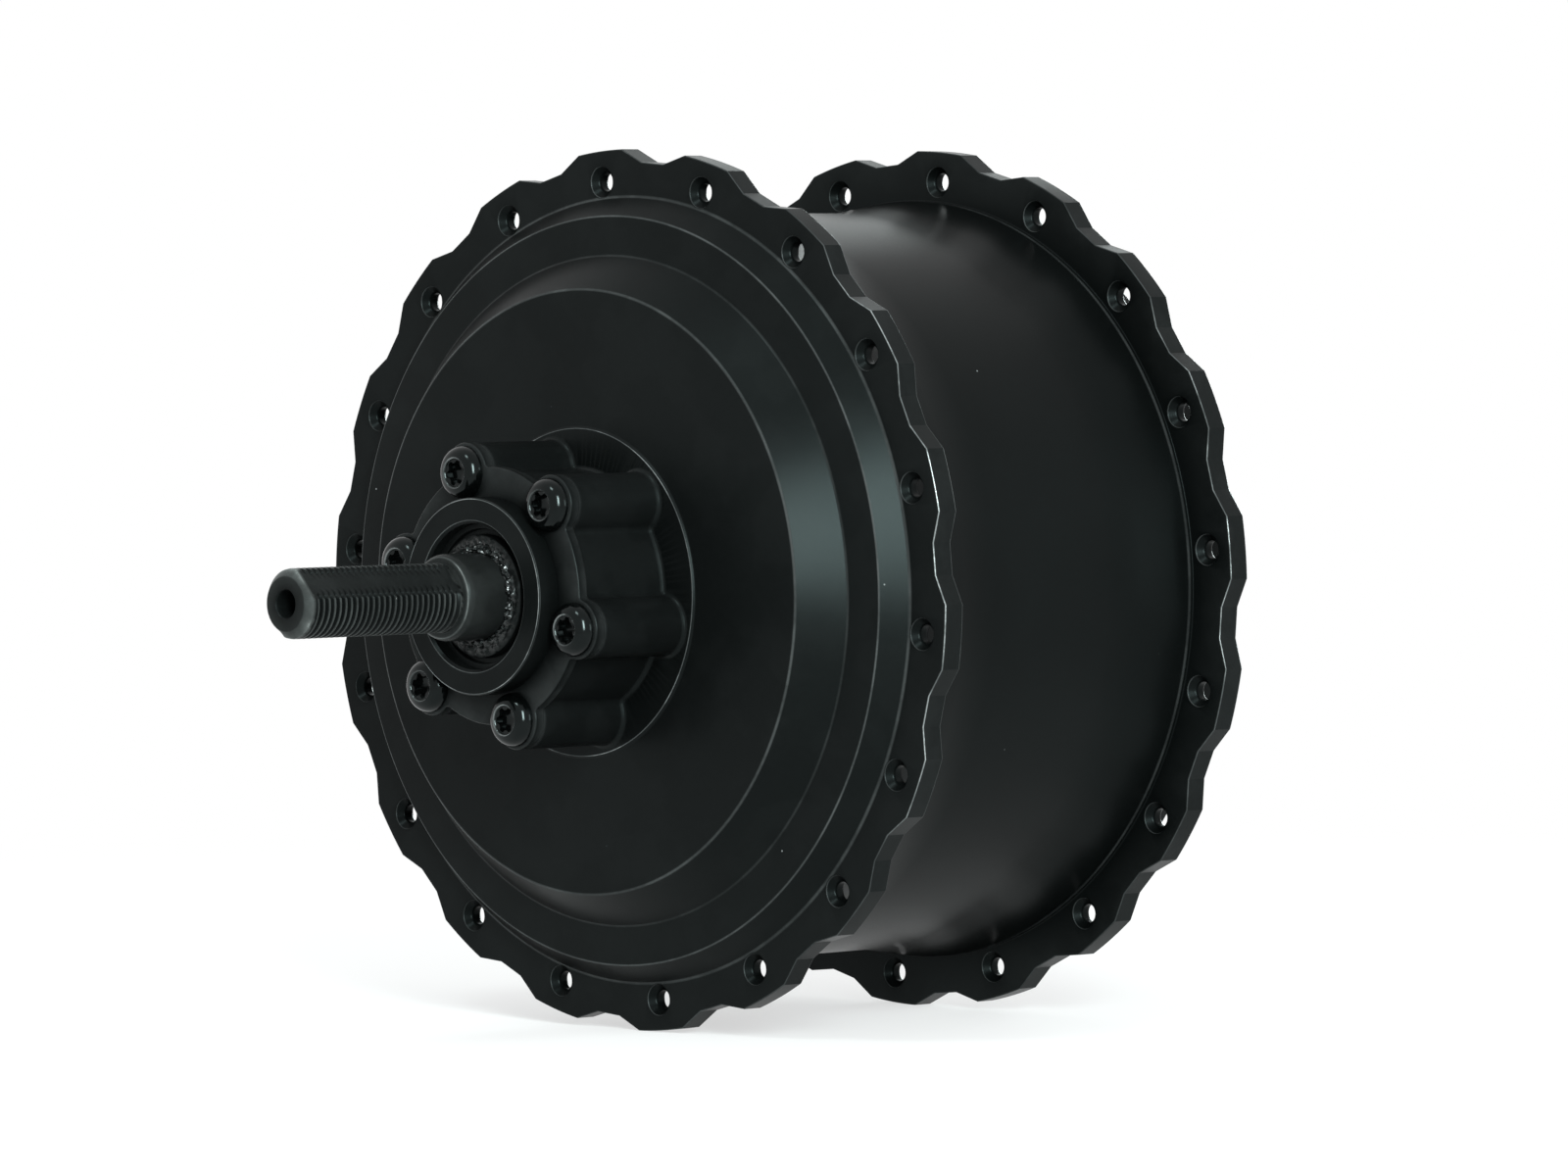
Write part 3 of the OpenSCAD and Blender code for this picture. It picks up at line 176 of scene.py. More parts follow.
class MeshMaker:
    """Collects the rings and faces of one mesh. Points closer than WELD metres become one."""

    WELD = 1e-7

    def __init__(self) -> None:
        """Starts an empty mesh."""
        self.points: list[Point] = []
        self.faces: list[tuple[int, ...]] = []
        self.wear: list[float] = []
        self.place = Matrix.Identity(4)

    def add(self, points: Sequence[Sequence[float]], wear: float = 0.0) -> list[int]:
        """Adds points at the present place.

        Args:
            points: The points in millimetres.
            wear: Their wear.

        Returns:
            The indices of the points.
        """
        start = len(self.points)
        self.points += [tuple(self.place @ Vector(p)) for p in points]
        self.wear += [wear] * len(points)
        return list(range(start, len(self.points)))

    def bridge(self, a: Sequence[int], b: Sequence[int]) -> None:
        """Joins two closed rings of equal length, or a ring and a single point.

        Args:
            a: The indices of the first ring.
            b: The indices of the second ring.
        """
        n = max(len(a), len(b))
        for i in range(n):
            j = (i + 1) % n
            if len(a) == 1:
                self.faces.append((a[0], b[j], b[i]))
            elif len(b) == 1:
                self.faces.append((a[i], a[j], b[0]))
            else:
                self.faces.append((a[i], a[j], b[j], b[i]))

    def turn(self, rings: Sequence[Ring], angles: Sequence[float], closed: bool = True) -> None:
        """Turns a profile about the axis.

        Args:
            rings: The profile. A ring of radius 0 is a single point on the axis.
            angles: The angles of the points on each ring, in degrees.
            closed: Whether the last ring joins the first.
        """
        spokes = [(a, math.cos(math.radians(a)), math.sin(math.radians(a))) for a in angles]
        made = []
        for ring in rings:
            if ring.r == 0:
                made.append(self.add([(0, 0, ring.z)], ring.wear))
                continue
            radii = [ring.shape(a, ring.r) if ring.shape else ring.r for a, _, _ in spokes]
            points = [(r * c, r * s, ring.z) for r, (_, c, s) in zip(radii, spokes)]
            made.append(self.add(points, ring.wear))
        for a, b in zip(made, made[1:]):
            self.bridge(a, b)
        if closed:
            self.bridge(made[-1], made[0])

    def pin(self, rings: Sequence[Ring], place: Matrix, count: int = 24) -> None:
        """Adds a small turned solid.

        Args:
            rings: The profile, which starts and ends on the solid's own axis.
            place: Where the solid stands.
            count: The number of points on each ring.
        """
        self.place = place
        self.turn(rings, even_angles(count), closed=False)

    def loft(self, outlines: Sequence[Outline]) -> None:
        """Joins outlines of equal length into a closed tube.

        Args:
            outlines: The outlines. The last one joins the first.
        """
        made = [self.add([(x, y, o.z) for x, y in o.points], o.wear) for o in outlines]
        for a, b in zip(made, made[1:] + made[:1]):
            self.bridge(a, b)

    def build(self, name: str, sharp: float = 30.0) -> bpy.types.Object:
        """Makes the object and lays it down in the model's frame.

        Args:
            name: The piece's name.
            sharp: The angle in degrees past which an edge is shaded sharp.

        Returns:
            The object, its mesh in metres.
        """
        mesh = bpy.data.meshes.new(name)
        mesh.from_pydata([(x * MM, -z * MM, y * MM) for x, y, z in self.points], [], self.faces)
        mesh.attributes.new("wear", "FLOAT", "POINT").data.foreach_set("value", self.wear)
        work = bmesh.new()
        work.from_mesh(mesh)
        bmesh.ops.remove_doubles(work, verts=work.verts, dist=self.WELD)
        bmesh.ops.recalc_face_normals(work, faces=work.faces)
        work.to_mesh(mesh)
        work.free()
        obj = linked(name, mesh)
        shade(obj, sharp)
        return obj


def shade(obj: bpy.types.Object, sharp: float) -> None:
    """Shades a mesh smooth and keeps its large faces flat.

    Args:
        obj: The mesh's object.
        sharp: The angle in degrees past which an edge is shaded sharp.
    """
    obj.data.shade_smooth()
    obj.data.set_sharp_from_angle(angle=math.radians(sharp))
    if "flat_faces" not in obj.modifiers:
        flat = obj.modifiers.new("flat_faces", "WEIGHTED_NORMAL")
        flat.keep_sharp = True


class Join(Enum):
    """How two solids are combined."""

    UNION = "UNION"
    CUT = "DIFFERENCE"


def combine(target: bpy.types.Object, other: bpy.types.Object, join: Join, sharp: float = 30.0) -> None:
    """Joins a second solid to a piece, or cuts it out of the piece, and removes the second solid.

    Args:
        target: The piece that stays.
        other: The second solid.
        join: Whether it is joined or cut out.
        sharp: The angle in degrees past which an edge is shaded sharp.
    """
    target.modifiers.clear()
    step = target.modifiers.new("combine", "BOOLEAN")
    step.operation = join.value
    step.solver = "MANIFOLD"
    step.object = other
    other.modifiers.clear()
    graph = bpy.context.evaluated_depsgraph_get()
    mesh = bpy.data.meshes.new_from_object(target.evaluated_get(graph))
    target.modifiers.clear()
    target.data = mesh
    mesh.name = target.name
    bpy.data.objects.remove(other)
    shade(target, sharp)


# Shader making

class Wire:
    """A socket's value, on which sums and products add Math nodes."""

    def __init__(self, shader: Shader, socket: bpy.types.NodeSocket) -> None:
        """Wraps one output socket of a shader's tree."""
        self.shader = shader
        self.socket = socket

    def _math(self, operation: str, *values: Wire | float) -> Wire:
        """Adds one Math node and returns its result."""
        return self.shader.node("ShaderNodeMath", {"operation": operation}, dict(enumerate(values)))

    def __add__(self, other: Wire | float) -> Wire:
        """Returns self + other."""
        return self._math("ADD", self, other)

    def __sub__(self, other: Wire | float) -> Wire:
        """Returns self - other."""
        return self._math("SUBTRACT", self, other)

    def __mul__(self, other: Wire | float) -> Wire:
        """Returns self * other."""
        return self._math("MULTIPLY", self, other)

    def __rsub__(self, other: float) -> Wire:
        """Returns other - self."""
        return self._math("SUBTRACT", other, self)

    __radd__ = __add__
    __rmul__ = __mul__

    def waves(self) -> Wire:
        """Returns the sine of the value, moved into the range from 0 to 1."""
        return self._math("SINE", self) * 0.5 + 0.5

    def above(self, low: float, high: float) -> Wire:
        """Returns a smooth step from 0 at low to 1 at high."""
        inputs = {"Value": self, "From Min": low, "From Max": high}
        return self.shader.node("ShaderNodeMapRange", {"interpolation_type": "SMOOTHSTEP"}, inputs)


class Shader:
    """The node tree of a material or of the surroundings.

    The MIX values are the places of the colour sockets on a Mix node.
    """

    MIX_SHARE, MIX_A, MIX_B, MIX_RESULT = 0, 6, 7, 2

    def __init__(self, owner: bpy.types.Material | bpy.types.World) -> None:
        """Takes a node tree.

        Args:
            owner: The material or the surroundings that the tree belongs to.
        """
        owner.use_nodes = True
        self.owner = owner
        self.tree = owner.node_tree

    @classmethod
    def named(cls, name: str) -> Shader:
        """Returns the shader of the frame's material of that name, or of a new one."""
        return cls(bpy.data.materials.get(name) or bpy.data.materials.new(name))

    def own(self, kind: str) -> bpy.types.Node:
        """Returns the node of that type that the tree started with."""
        return next(n for n in self.tree.nodes if n.type == kind)

    def node(self, kind: str, settings: dict | None = None, inputs: dict | None = None,
             output: str | int = 0) -> Wire:
        """Adds one node.

        Args:
            kind: The node's type.
            settings: Its properties by name, which are set first.
            inputs: The value or wire of each input, by its name or index.
            output: The name or index of the output that is wanted.

        Returns:
            That output.
        """
        made = self.tree.nodes.new(kind)
        for key, value in (settings or {}).items():
            setattr(made, key, value)
        for key, value in (inputs or {}).items():
            self.set(made.inputs[key], value)
        return Wire(self, made.outputs[output])

    def set(self, socket: bpy.types.NodeSocket, value: Wire | float | Color) -> None:
        """Links a wire to an input socket, or writes a plain value on it.

        Args:
            socket: The input socket.
            value: The wire, number or colour.
        """
        if isinstance(value, Wire):
            self.tree.links.new(value.socket, socket)
        elif socket.type == "RGBA":
            socket.default_value = (*value, 1)
        else:
            socket.default_value = value

    def place(self) -> Wire:
        """Returns the point on the piece, in metres."""
        return self.node("ShaderNodeTexCoord", output="Object")

    def distance(self, place: Wire) -> Wire:
        """Returns how far a place is from the origin."""
        return self.node("ShaderNodeVectorMath", {"operation": "LENGTH"}, {0: place}, "Value")

    def noise(self, size: float, detail: float = 3.0, rough: float = 0.5) -> Wire:
        """Makes cloudy noise.

        Args:
            size: The width of its blots in millimetres.
            detail: How many finer layers it has.
            rough: How strong the finer layers are.

        Returns:
            The noise, from 0 to 1.
        """
        inputs = {"Vector": self.place(), "Scale": 1 / (size * MM), "Detail": detail, "Roughness": rough}
        return self.node("ShaderNodeTexNoise", {}, inputs)

    def specks(self, spacing: float, size: float, share: float) -> Wire:
        """Makes a mask of scattered specks.

        Args:
            spacing: The distance between specks in millimetres.
            size: The radius of a speck in millimetres.
            share: The share of the places that hold one.

        Returns:
            1 on a speck and 0 elsewhere.
        """
        core, step = 0.6, 0.01
        reach = size / spacing
        inputs = {"Vector": self.place(), "Scale": 1 / (spacing * MM)}
        far = self.node("ShaderNodeTexVoronoi", {}, inputs, "Distance")
        tint = self.node("ShaderNodeTexVoronoi", {}, inputs, "Color")
        chance = self.node("ShaderNodeSeparateColor", {}, {"Color": tint}, "Red")
        return (1 - far.above(core * reach, reach)) * chance.above(1 - share, 1 - share + step)

    def edges(self) -> Wire:
        """Returns the wear that the mesh carries."""
        return self.node("ShaderNodeAttribute", {"attribute_name": "wear"}, output="Fac")

    def wear(self) -> Wire:
        """Breaks up the wear that the mesh carries, so that it comes and goes along the edges.

        Returns:
            The wear as it shows: in patches and flecks, and chipped where it is strong.
        """
        patch_size, chip_size, fleck_size = 11.0, 0.8, 0.9
        edge = self.edges()
        patches = self.noise(patch_size).above(0.46, 0.58)
        broken = 0.3 + self.noise(chip_size).above(0.35, 0.65) * 0.6
        chips = edge.above(0.22, 0.4) * patches * broken
        flecks = 0.3 + patches * 0.3 + self.noise(fleck_size) * 0.4
        return edge * flecks + chips

    def blend(self, share: Wire | float, a: Wire | Color, b: Wire | Color) -> Wire:
        """Returns the colour at that share of the way from a to b."""
        inputs = {self.MIX_SHARE: share, self.MIX_A: a, self.MIX_B: b}
        return self.node("ShaderNodeMix", {"data_type": "RGBA"}, inputs, self.MIX_RESULT)

    def bump(self, height: Wire, depth: float) -> Wire:
        """Returns the normal over a height whose full range is that many millimetres."""
        inputs = {"Height": height, "Distance": depth * MM, "Strength": 1.0}
        return self.node("ShaderNodeBump", {}, inputs)

    def finish(self, **inputs: Wire | float | Color) -> bpy.types.Material:
        """Sets the Principled surface of a material.

        Args:
            inputs: The value or wire of each input, named with underscores for spaces.

        Returns:
            The material.
        """
        surface = self.own("BSDF_PRINCIPLED")
        for key, value in inputs.items():
            self.set(surface.inputs[key.replace("_", " ")], value)
        return self.owner


# Finishes

STEEL_TINT = (0.86, 1.0, 1.0)
CLOUD_LIFT = 1.5


def scaled(color: Color, factor: float) -> Color:
    """Returns a colour made lighter or darker, no lighter than white."""
    return tuple(min(1.0, c * factor) for c in color)


@dataclass(frozen=True)
class Coat:
    """The satin black coat of the castings, rubbed bright on some edges and dusted with specks."""

    name: str = "coated_shell"
    color: Color = (0.0015, 0.0018, 0.0018)
    bare: Color = (0.26, 0.275, 0.275)
    dust_color: Color = (0.20, 0.21, 0.21)
    tint: Color = (0.82, 1.0, 1.0)
    rough: float = 0.31
    ior: float = 1.15
    cloud_size: float = 38.0
    grain_size: float = 0.45
    dust_spacing: float = 6.0
    dust_size: float = 0.19
    dust_share: float = 0.25
    depth: float = 0.006

    def material(self) -> bpy.types.Material:
        """Makes the coat's material.

        Returns:
            The material.
        """
        s = Shader.named(self.name)
        cloud = s.noise(self.cloud_size, detail=4)
        grain = s.noise(self.grain_size)
        # The wear also carries the shell's haze, which is partly painted light.
        worn = s.wear()
        dust = s.specks(self.dust_spacing, self.dust_size, self.dust_share)
        base = s.blend(cloud.above(0.3, 0.75), self.color, scaled(self.color, CLOUD_LIFT))
        base = s.blend(dust * 0.8, base, self.dust_color)
        return s.finish(
            Base_Color=s.blend(worn, base, self.bare),
            Metallic=worn * 0.8,
            Roughness=self.rough + (cloud - 0.5) * 0.10 + (grain - 0.5) * 0.06 + dust * 0.3,
            IOR=self.ior,
            Specular_Tint=self.tint,
            Normal=s.bump(grain + dust * 1.5, self.depth),
        )


@dataclass(frozen=True)
class Phosphate:
    """Dark phosphated and oiled steel, rubbed grey on its crests and edges."""

    name: str = "blackened_steel"
    color: Color = (0.0018, 0.0021, 0.0021)
    bare: Color = (0.22, 0.235, 0.23)
    rough: float = 0.36
    ior: float = 1.16
    cloud_size: float = 5.0
    grain_size: float = 0.25
    glint_spacing: float = 1.2
    glint_size: float = 0.16
    glint_share: float = 0.12
    depth: float = 0.010

    def material(self) -> bpy.types.Material:
        """Makes the steel's material, with glints along the thread's crests.

        Returns:
            The material.
        """
        s = Shader.named(self.name)
        cloud = s.noise(self.cloud_size, detail=5, rough=0.6)
        grain = s.noise(self.grain_size)
        crests = s.edges().above(0.08, 0.12)
        glints = s.specks(self.glint_spacing, self.glint_size, self.glint_share) * crests
        # The glints are painted highlights: bright bare specks on the crests, carried in the wear.
        worn = s.wear() + glints * 0.8
        base = s.blend(cloud.above(0.35, 0.7), self.color, scaled(self.color, CLOUD_LIFT))
        return s.finish(
            Base_Color=s.blend(worn, base, self.bare),
            Metallic=worn * 0.6,
            Roughness=self.rough + (cloud - 0.5) * 0.2,
            IOR=self.ior,
            Specular_Tint=STEEL_TINT,
            Normal=s.bump(grain + cloud, self.depth),
        )


@dataclass(frozen=True)
class Oxide:
    """Glossy black oxide on the screws."""

    name: str = "black_oxide"
    color: Color = (0.0008, 0.0010, 0.0010)
    bare: Color = (0.18, 0.19, 0.19)
    rough: float = 0.13
    ior: float = 1.27
    cloud_size: float = 2.5
    depth: float = 0.006

    def material(self) -> bpy.types.Material:
        """Makes the oxide's material.

        Returns:
            The material.
        """
        s = Shader.named(self.name)
        cloud = s.noise(self.cloud_size, detail=4)
        # The wear holds the bright ring at each socket's mouth: worn metal and a painted highlight.
        worn = s.wear() * 0.6
        return s.finish(
            Base_Color=s.blend(worn, self.color, self.bare),
            Metallic=worn,
            Roughness=self.rough + (cloud - 0.5) * 0.08,
            IOR=self.ior,
            Specular_Tint=STEEL_TINT,
            Normal=s.bump(cloud, self.depth),
        )


@dataclass(frozen=True)
class SealRubber:
    """Black rubber with a film of grease where it meets the axle."""

    name: str = "seal_rubber"
    color: Color = (0.0025, 0.0028, 0.0028)
    grease_color: Color = (0.004, 0.0048, 0.0047)
    rough: float = 0.45
    ior: float = 1.2
    film_rough: float = 0.1
    lump_size: float = 0.7
    grain_size: float = 0.3
    depth: float = 0.03

    def material(self) -> bpy.types.Material:
        """Makes the rubber's material, with its grease where the mesh's wear says so.

        Returns:
            The material.
        """
        s = Shader.named(self.name)
        grease = s.edges()
        lumps = s.noise(self.lump_size, detail=5, rough=0.65)
        grain = s.noise(self.grain_size, detail=2)
        wet = grease * lumps.above(0.4, 0.6)
        return s.finish(
            Base_Color=s.blend(wet, self.color, self.grease_color),
            Roughness=self.rough - wet * 0.2 + (grain - 0.5) * 0.1,
            IOR=self.ior,
            Specular_Tint=STEEL_TINT,
            Coat_Weight=wet * 0.7,
            Coat_Roughness=self.film_rough,
            Normal=s.bump(lumps * grease * 4 + grain, self.depth),
        )


class Grain(Enum):
    """The marks that a way of making leaves on a surface. The value is their depth in millimetres."""

    TURNED = 0.004
    MOULDED = 0.008
    STACKED = 0.02
    CAST = 0.03
    WOUND = 0.12


@dataclass(frozen=True)
class Plain:
    """A finish of one colour with the marks of how the piece was made.

    SHEET and STRAND are the width of a lamination and of a wire in millimetres, CUT_WAVES is the
    number of radians in a metre of turning marks, and CUT_DRIFT is how far those wander.
    """

    name: str
    color: Color
    rough: float
    metal: float = 0.0
    grain: Grain = Grain.MOULDED
    mottle: float = 0.15

    SHEET, STRAND, CUT_WAVES, CUT_DRIFT = 0.5, 0.8, 22000, 9

    def marks(self, s: Shader) -> Wire:
        """Draws the marks of the piece's making.

        Args:
            s: The shader that the finish is made with.

        Returns:
            The height of the marks, from 0 to 1.
        """
        x, y, z = (s.node("ShaderNodeSeparateXYZ", {}, {"Vector": s.place()}, i) for i in range(3))
        if self.grain is Grain.TURNED:
            out = s.distance(s.node("ShaderNodeCombineXYZ", {}, {"X": x, "Z": z}))
            return ((out + y) * self.CUT_WAVES + s.noise(6, detail=2) * self.CUT_DRIFT).waves()
        if self.grain is Grain.STACKED:
            return (y * (2 * math.pi / (self.SHEET * MM))).waves()
        if self.grain is Grain.WOUND:
            return ((x + z) * (2 * math.pi / (self.STRAND * MM))).waves()
        if self.grain is Grain.CAST:
            return s.noise(0.8, detail=4, rough=0.6)
        return s.noise(1.6, detail=2)

    def material(self) -> bpy.types.Material:
        """Makes the finish's material.

        Returns:
            The material.
        """
        s = Shader.named(self.name)
        cloud = s.noise(9, detail=4)
        dark, light = (scaled(self.color, 1 + way * self.mottle) for way in (-1, 1))
        return s.finish(
            Base_Color=s.blend(cloud.above(0.3, 0.7), dark, light),
            Metallic=self.metal,
            Roughness=self.rough + (cloud - 0.5) * 0.16,
            Normal=s.bump(self.marks(s), self.grain.value),
        )


FINISHES = (
    Coat(),
    Phosphate(),
    Oxide(),
    SealRubber(),
    Plain("zinc_steel", (0.09, 0.09, 0.095), rough=0.32, metal=0.8, grain=Grain.TURNED),
    Plain("gasket_paper", (0.05, 0.05, 0.055), rough=0.8, grain=Grain.CAST),
    Plain("bearing_steel", (0.62, 0.62, 0.63), rough=0.16, metal=1.0, grain=Grain.TURNED, mottle=0.05),
    Plain("machined_steel", (0.42, 0.42, 0.43), rough=0.3, metal=1.0, grain=Grain.TURNED, mottle=0.1),
    Plain("bronze", (0.55, 0.33, 0.13), rough=0.35, metal=1.0, grain=Grain.TURNED, mottle=0.12),
    Plain("gear_nylon", (0.72, 0.69, 0.60), rough=0.42, mottle=0.05),
    Plain("cast_aluminium", (0.58, 0.58, 0.59), rough=0.45, metal=0.9, grain=Grain.CAST, mottle=0.1),
    Plain("laminations", (0.13, 0.13, 0.14), rough=0.4, metal=0.8, grain=Grain.STACKED),
    Plain("magnet_plating", (0.55, 0.55, 0.56), rough=0.2, metal=1.0, mottle=0.08),
    Plain("copper_enamel", (0.50, 0.16, 0.06), rough=0.3, metal=0.7, grain=Grain.WOUND, mottle=0.2),
    Plain("slot_plastic", (0.70, 0.66, 0.52), rough=0.5, mottle=0.05),
    Plain("board", (0.012, 0.09, 0.035), rough=0.25, mottle=0.1),
    Plain("sensor_body", (0.012, 0.012, 0.012), rough=0.4),
    Plain("lead_silicone", (0.60, 0.40, 0.03), rough=0.45, mottle=0.08),
)


# The motor's pieces

def dress(piece: bpy.types.Object, slot: str, body: str, *nodes: str) -> bpy.types.Object:
    """Gives a piece its finish and its place in the model.

    Args:
        piece: The piece.
        slot: The name of its finish.
        body: The body that it rides on.
        nodes: The model's nodes that it stands for.

    Returns:
        The piece.
    """
    piece.data.materials.clear()
    piece.data.materials.append(bpy.data.materials[slot])
    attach(piece, body)
    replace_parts(piece, *nodes)
    log.info("%s: %d faces on %s", piece.name, len(piece.data.polygons), body)
    return piece


@dataclass(frozen=True)
class LobedRim:
    """The outline of a spoke flange: round lobes joined by straight ramps to the valleys between them.

    The halves are the angles in degrees over which a lobe and a valley reach to each side.
    """

    phase: float
    count: int
    lobe_r: float
    valley_r: float = 74.75
    lobe_half: float = 4.1
    valley_half: float = 2.1

    @property
    def step(self) -> float:
        """The angle from one lobe to the next."""
        return 360 / self.count

    def radius(self, angle: float, r: float) -> float:
        """Works out the rim's radius.

        Args:
            angle: The angle in degrees.
            r: The ring's radius at the lobes.

        Returns:
            The ring's radius at that angle.
        """
        turn = (angle - self.phase) % self.step
        away = min(turn, self.step - turn)
        ramp_end = self.step / 2 - self.valley_half
        if away <= self.lobe_half + TINY:
            edge = self.lobe_r
        elif away >= ramp_end - TINY:
            flat_r = self.valley_r * math.cos(math.radians(self.valley_half))
            edge = flat_r / math.cos(math.radians(self.step / 2 - away))
        else:
            a, b, t = (math.radians(x) for x in (self.lobe_half, ramp_end, away))
            p, q = self.lobe_r, self.valley_r
            edge = p * q * math.sin(b - a) / (p * math.sin(t - a) + q * math.sin(b - t))
        return edge + r - self.lobe_r

    def angles(self) -> list[float]:
        """Works out the angles of a ring that has points at the corners of both flanges.

        Returns:
            The angles in degrees.
        """
        half = self.step / 2
        corners = [self.valley_half, self.lobe_half]
        bends = [0, *corners, *(half - x for x in reversed(corners)), half]
        stretch = [x for a, b in zip(bends, bends[1:]) for x in (a, mixed(a, b, 0.5))]
        return [self.phase + i * half + x for i in range(2 * self.count) for x in stretch]


@dataclass(frozen=True)
class DiscSeat:
    """The brake disc's seat and its circle of screws."""

    z: float = 72.3
    circle_r: float = 22.0
    count: int = 6
    phase: float = 45.9

    def angles(self) -> list[float]:
        """Returns the angles of the screws in degrees."""
        return even_angles(self.count, self.phase)


@dataclass(frozen=True)
class Hollow:
    """The stretch between two lobes of the disc boss: its radius and the fillet beside each lobe."""

    r: float
    fillet: float


@dataclass(frozen=True)
class DiscBoss:
    """The boss under the disc seat: a neck on a rounded foot and a wider rim, lobed at each screw."""

    seat: DiscSeat
    pad_z: float
    spigot_r: float
    lobe_r: float = 5.2
    neck: Hollow = Hollow(21.3, 1.2)
    rim: Hollow = Hollow(22.25, 0.85)
    rim_h: float = 1.9
    taper_h: float = 0.75
    step_low: float = 0.15
    step_high: float = 0.1
    foot: float = 0.9
    edge: float = 0.3
    sunk: float = 0.5
    overlap: float = 2.0
    neck_wear: float = 0.013
    rim_wear: float = 0.05
    seat_wear: float = 0.07

    def outline(self, hollow: Hollow, grow: float) -> list[tuple[float, float]]:
        """Draws the boss's outline.

        Args:
            hollow: The stretch between its lobes.
            grow: How far the outline is offset outward.

        Returns:
            The outline's points.
        """
        d, half_step = self.seat.circle_r, math.pi / self.seat.count
        reach = hollow.r + hollow.fillet
        a = math.acos((reach ** 2 + d ** 2 - (self.lobe_r + hollow.fillet) ** 2) / (2 * reach * d))
        corner = Vector((reach * math.cos(a), reach * math.sin(a)))
        b = math.atan2(corner.y, corner.x - d)
        half = []
        for centre, r, start, end, steps in (
            (Vector((d, 0)), self.lobe_r + grow, 0, b, 12),
            (corner, hollow.fillet - grow, b + math.pi, a + math.pi, 6),
            (Vector((0, 0)), hollow.r + grow, a, half_step, 5),
        ):
            for i in range(steps):
                t = mixed(start, end, i / steps)
                half.append(centre + r * Vector((math.cos(t), math.sin(t))))
        middle = (hollow.r + grow) * Vector((math.cos(half_step), math.sin(half_step)))
        mirrored = [Vector((p.x, -p.y)) for p in reversed(half[1:])]
        lobe = mirrored + half + [middle]
        turns = [Matrix.Rotation(math.radians(angle), 2) for angle in self.seat.angles()]
        return [tuple(turn @ p) for turn in turns for p in lobe]

    def levels(self) -> list[tuple[float, Hollow, float, float]]:
        """Works out the boss's outlines, from the foot up.

        Returns:
            The height, hollow, offset and wear of each outline.
        """
        step_z, top_z = self.seat.z - self.rim_h, self.seat.z - self.edge
        foot = [(self.pad_z + self.foot * (1 - math.cos(t)), self.neck, self.foot * (1 - math.sin(t)),
                 self.neck_wear) for t in quarter(5)]
        edge = [(top_z + self.edge * math.sin(t), self.rim, -self.edge * (1 - math.cos(t)),
                 max(self.neck_wear, self.seat_wear * math.sin(t))) for t in quarter(4)]
        return [
            (self.pad_z - self.sunk, self.neck, self.foot, self.neck_wear),
            *foot,
            (step_z - self.taper_h, self.neck, 0.0, self.neck_wear),
            (step_z - self.step_low, self.rim, -0.1, self.rim_wear),
            (step_z + self.step_high, self.rim, 0.0, self.rim_wear),
            *edge,
        ]

    def build(self) -> bpy.types.Object:
        """Makes the boss as a lobed ring, which overlaps the spigot's wall.

        Returns:
            The ring, still to be joined to the shell.
        """
        outlines = [Outline(z, self.outline(hollow, grow), wear)
                    for z, hollow, grow, wear in self.levels()]
        inner_r = self.spigot_r - self.overlap
        inner = [(inner_r * x / math.hypot(x, y), inner_r * y / math.hypot(x, y))
                 for x, y in outlines[0].points]
        outlines.append(Outline(self.seat.z, inner, self.seat_wear))
        outlines.append(Outline(self.pad_z - self.sunk, inner, 0.0))
        maker = MeshMaker()
        maker.loft(outlines)
        return maker.build("boss_blank")


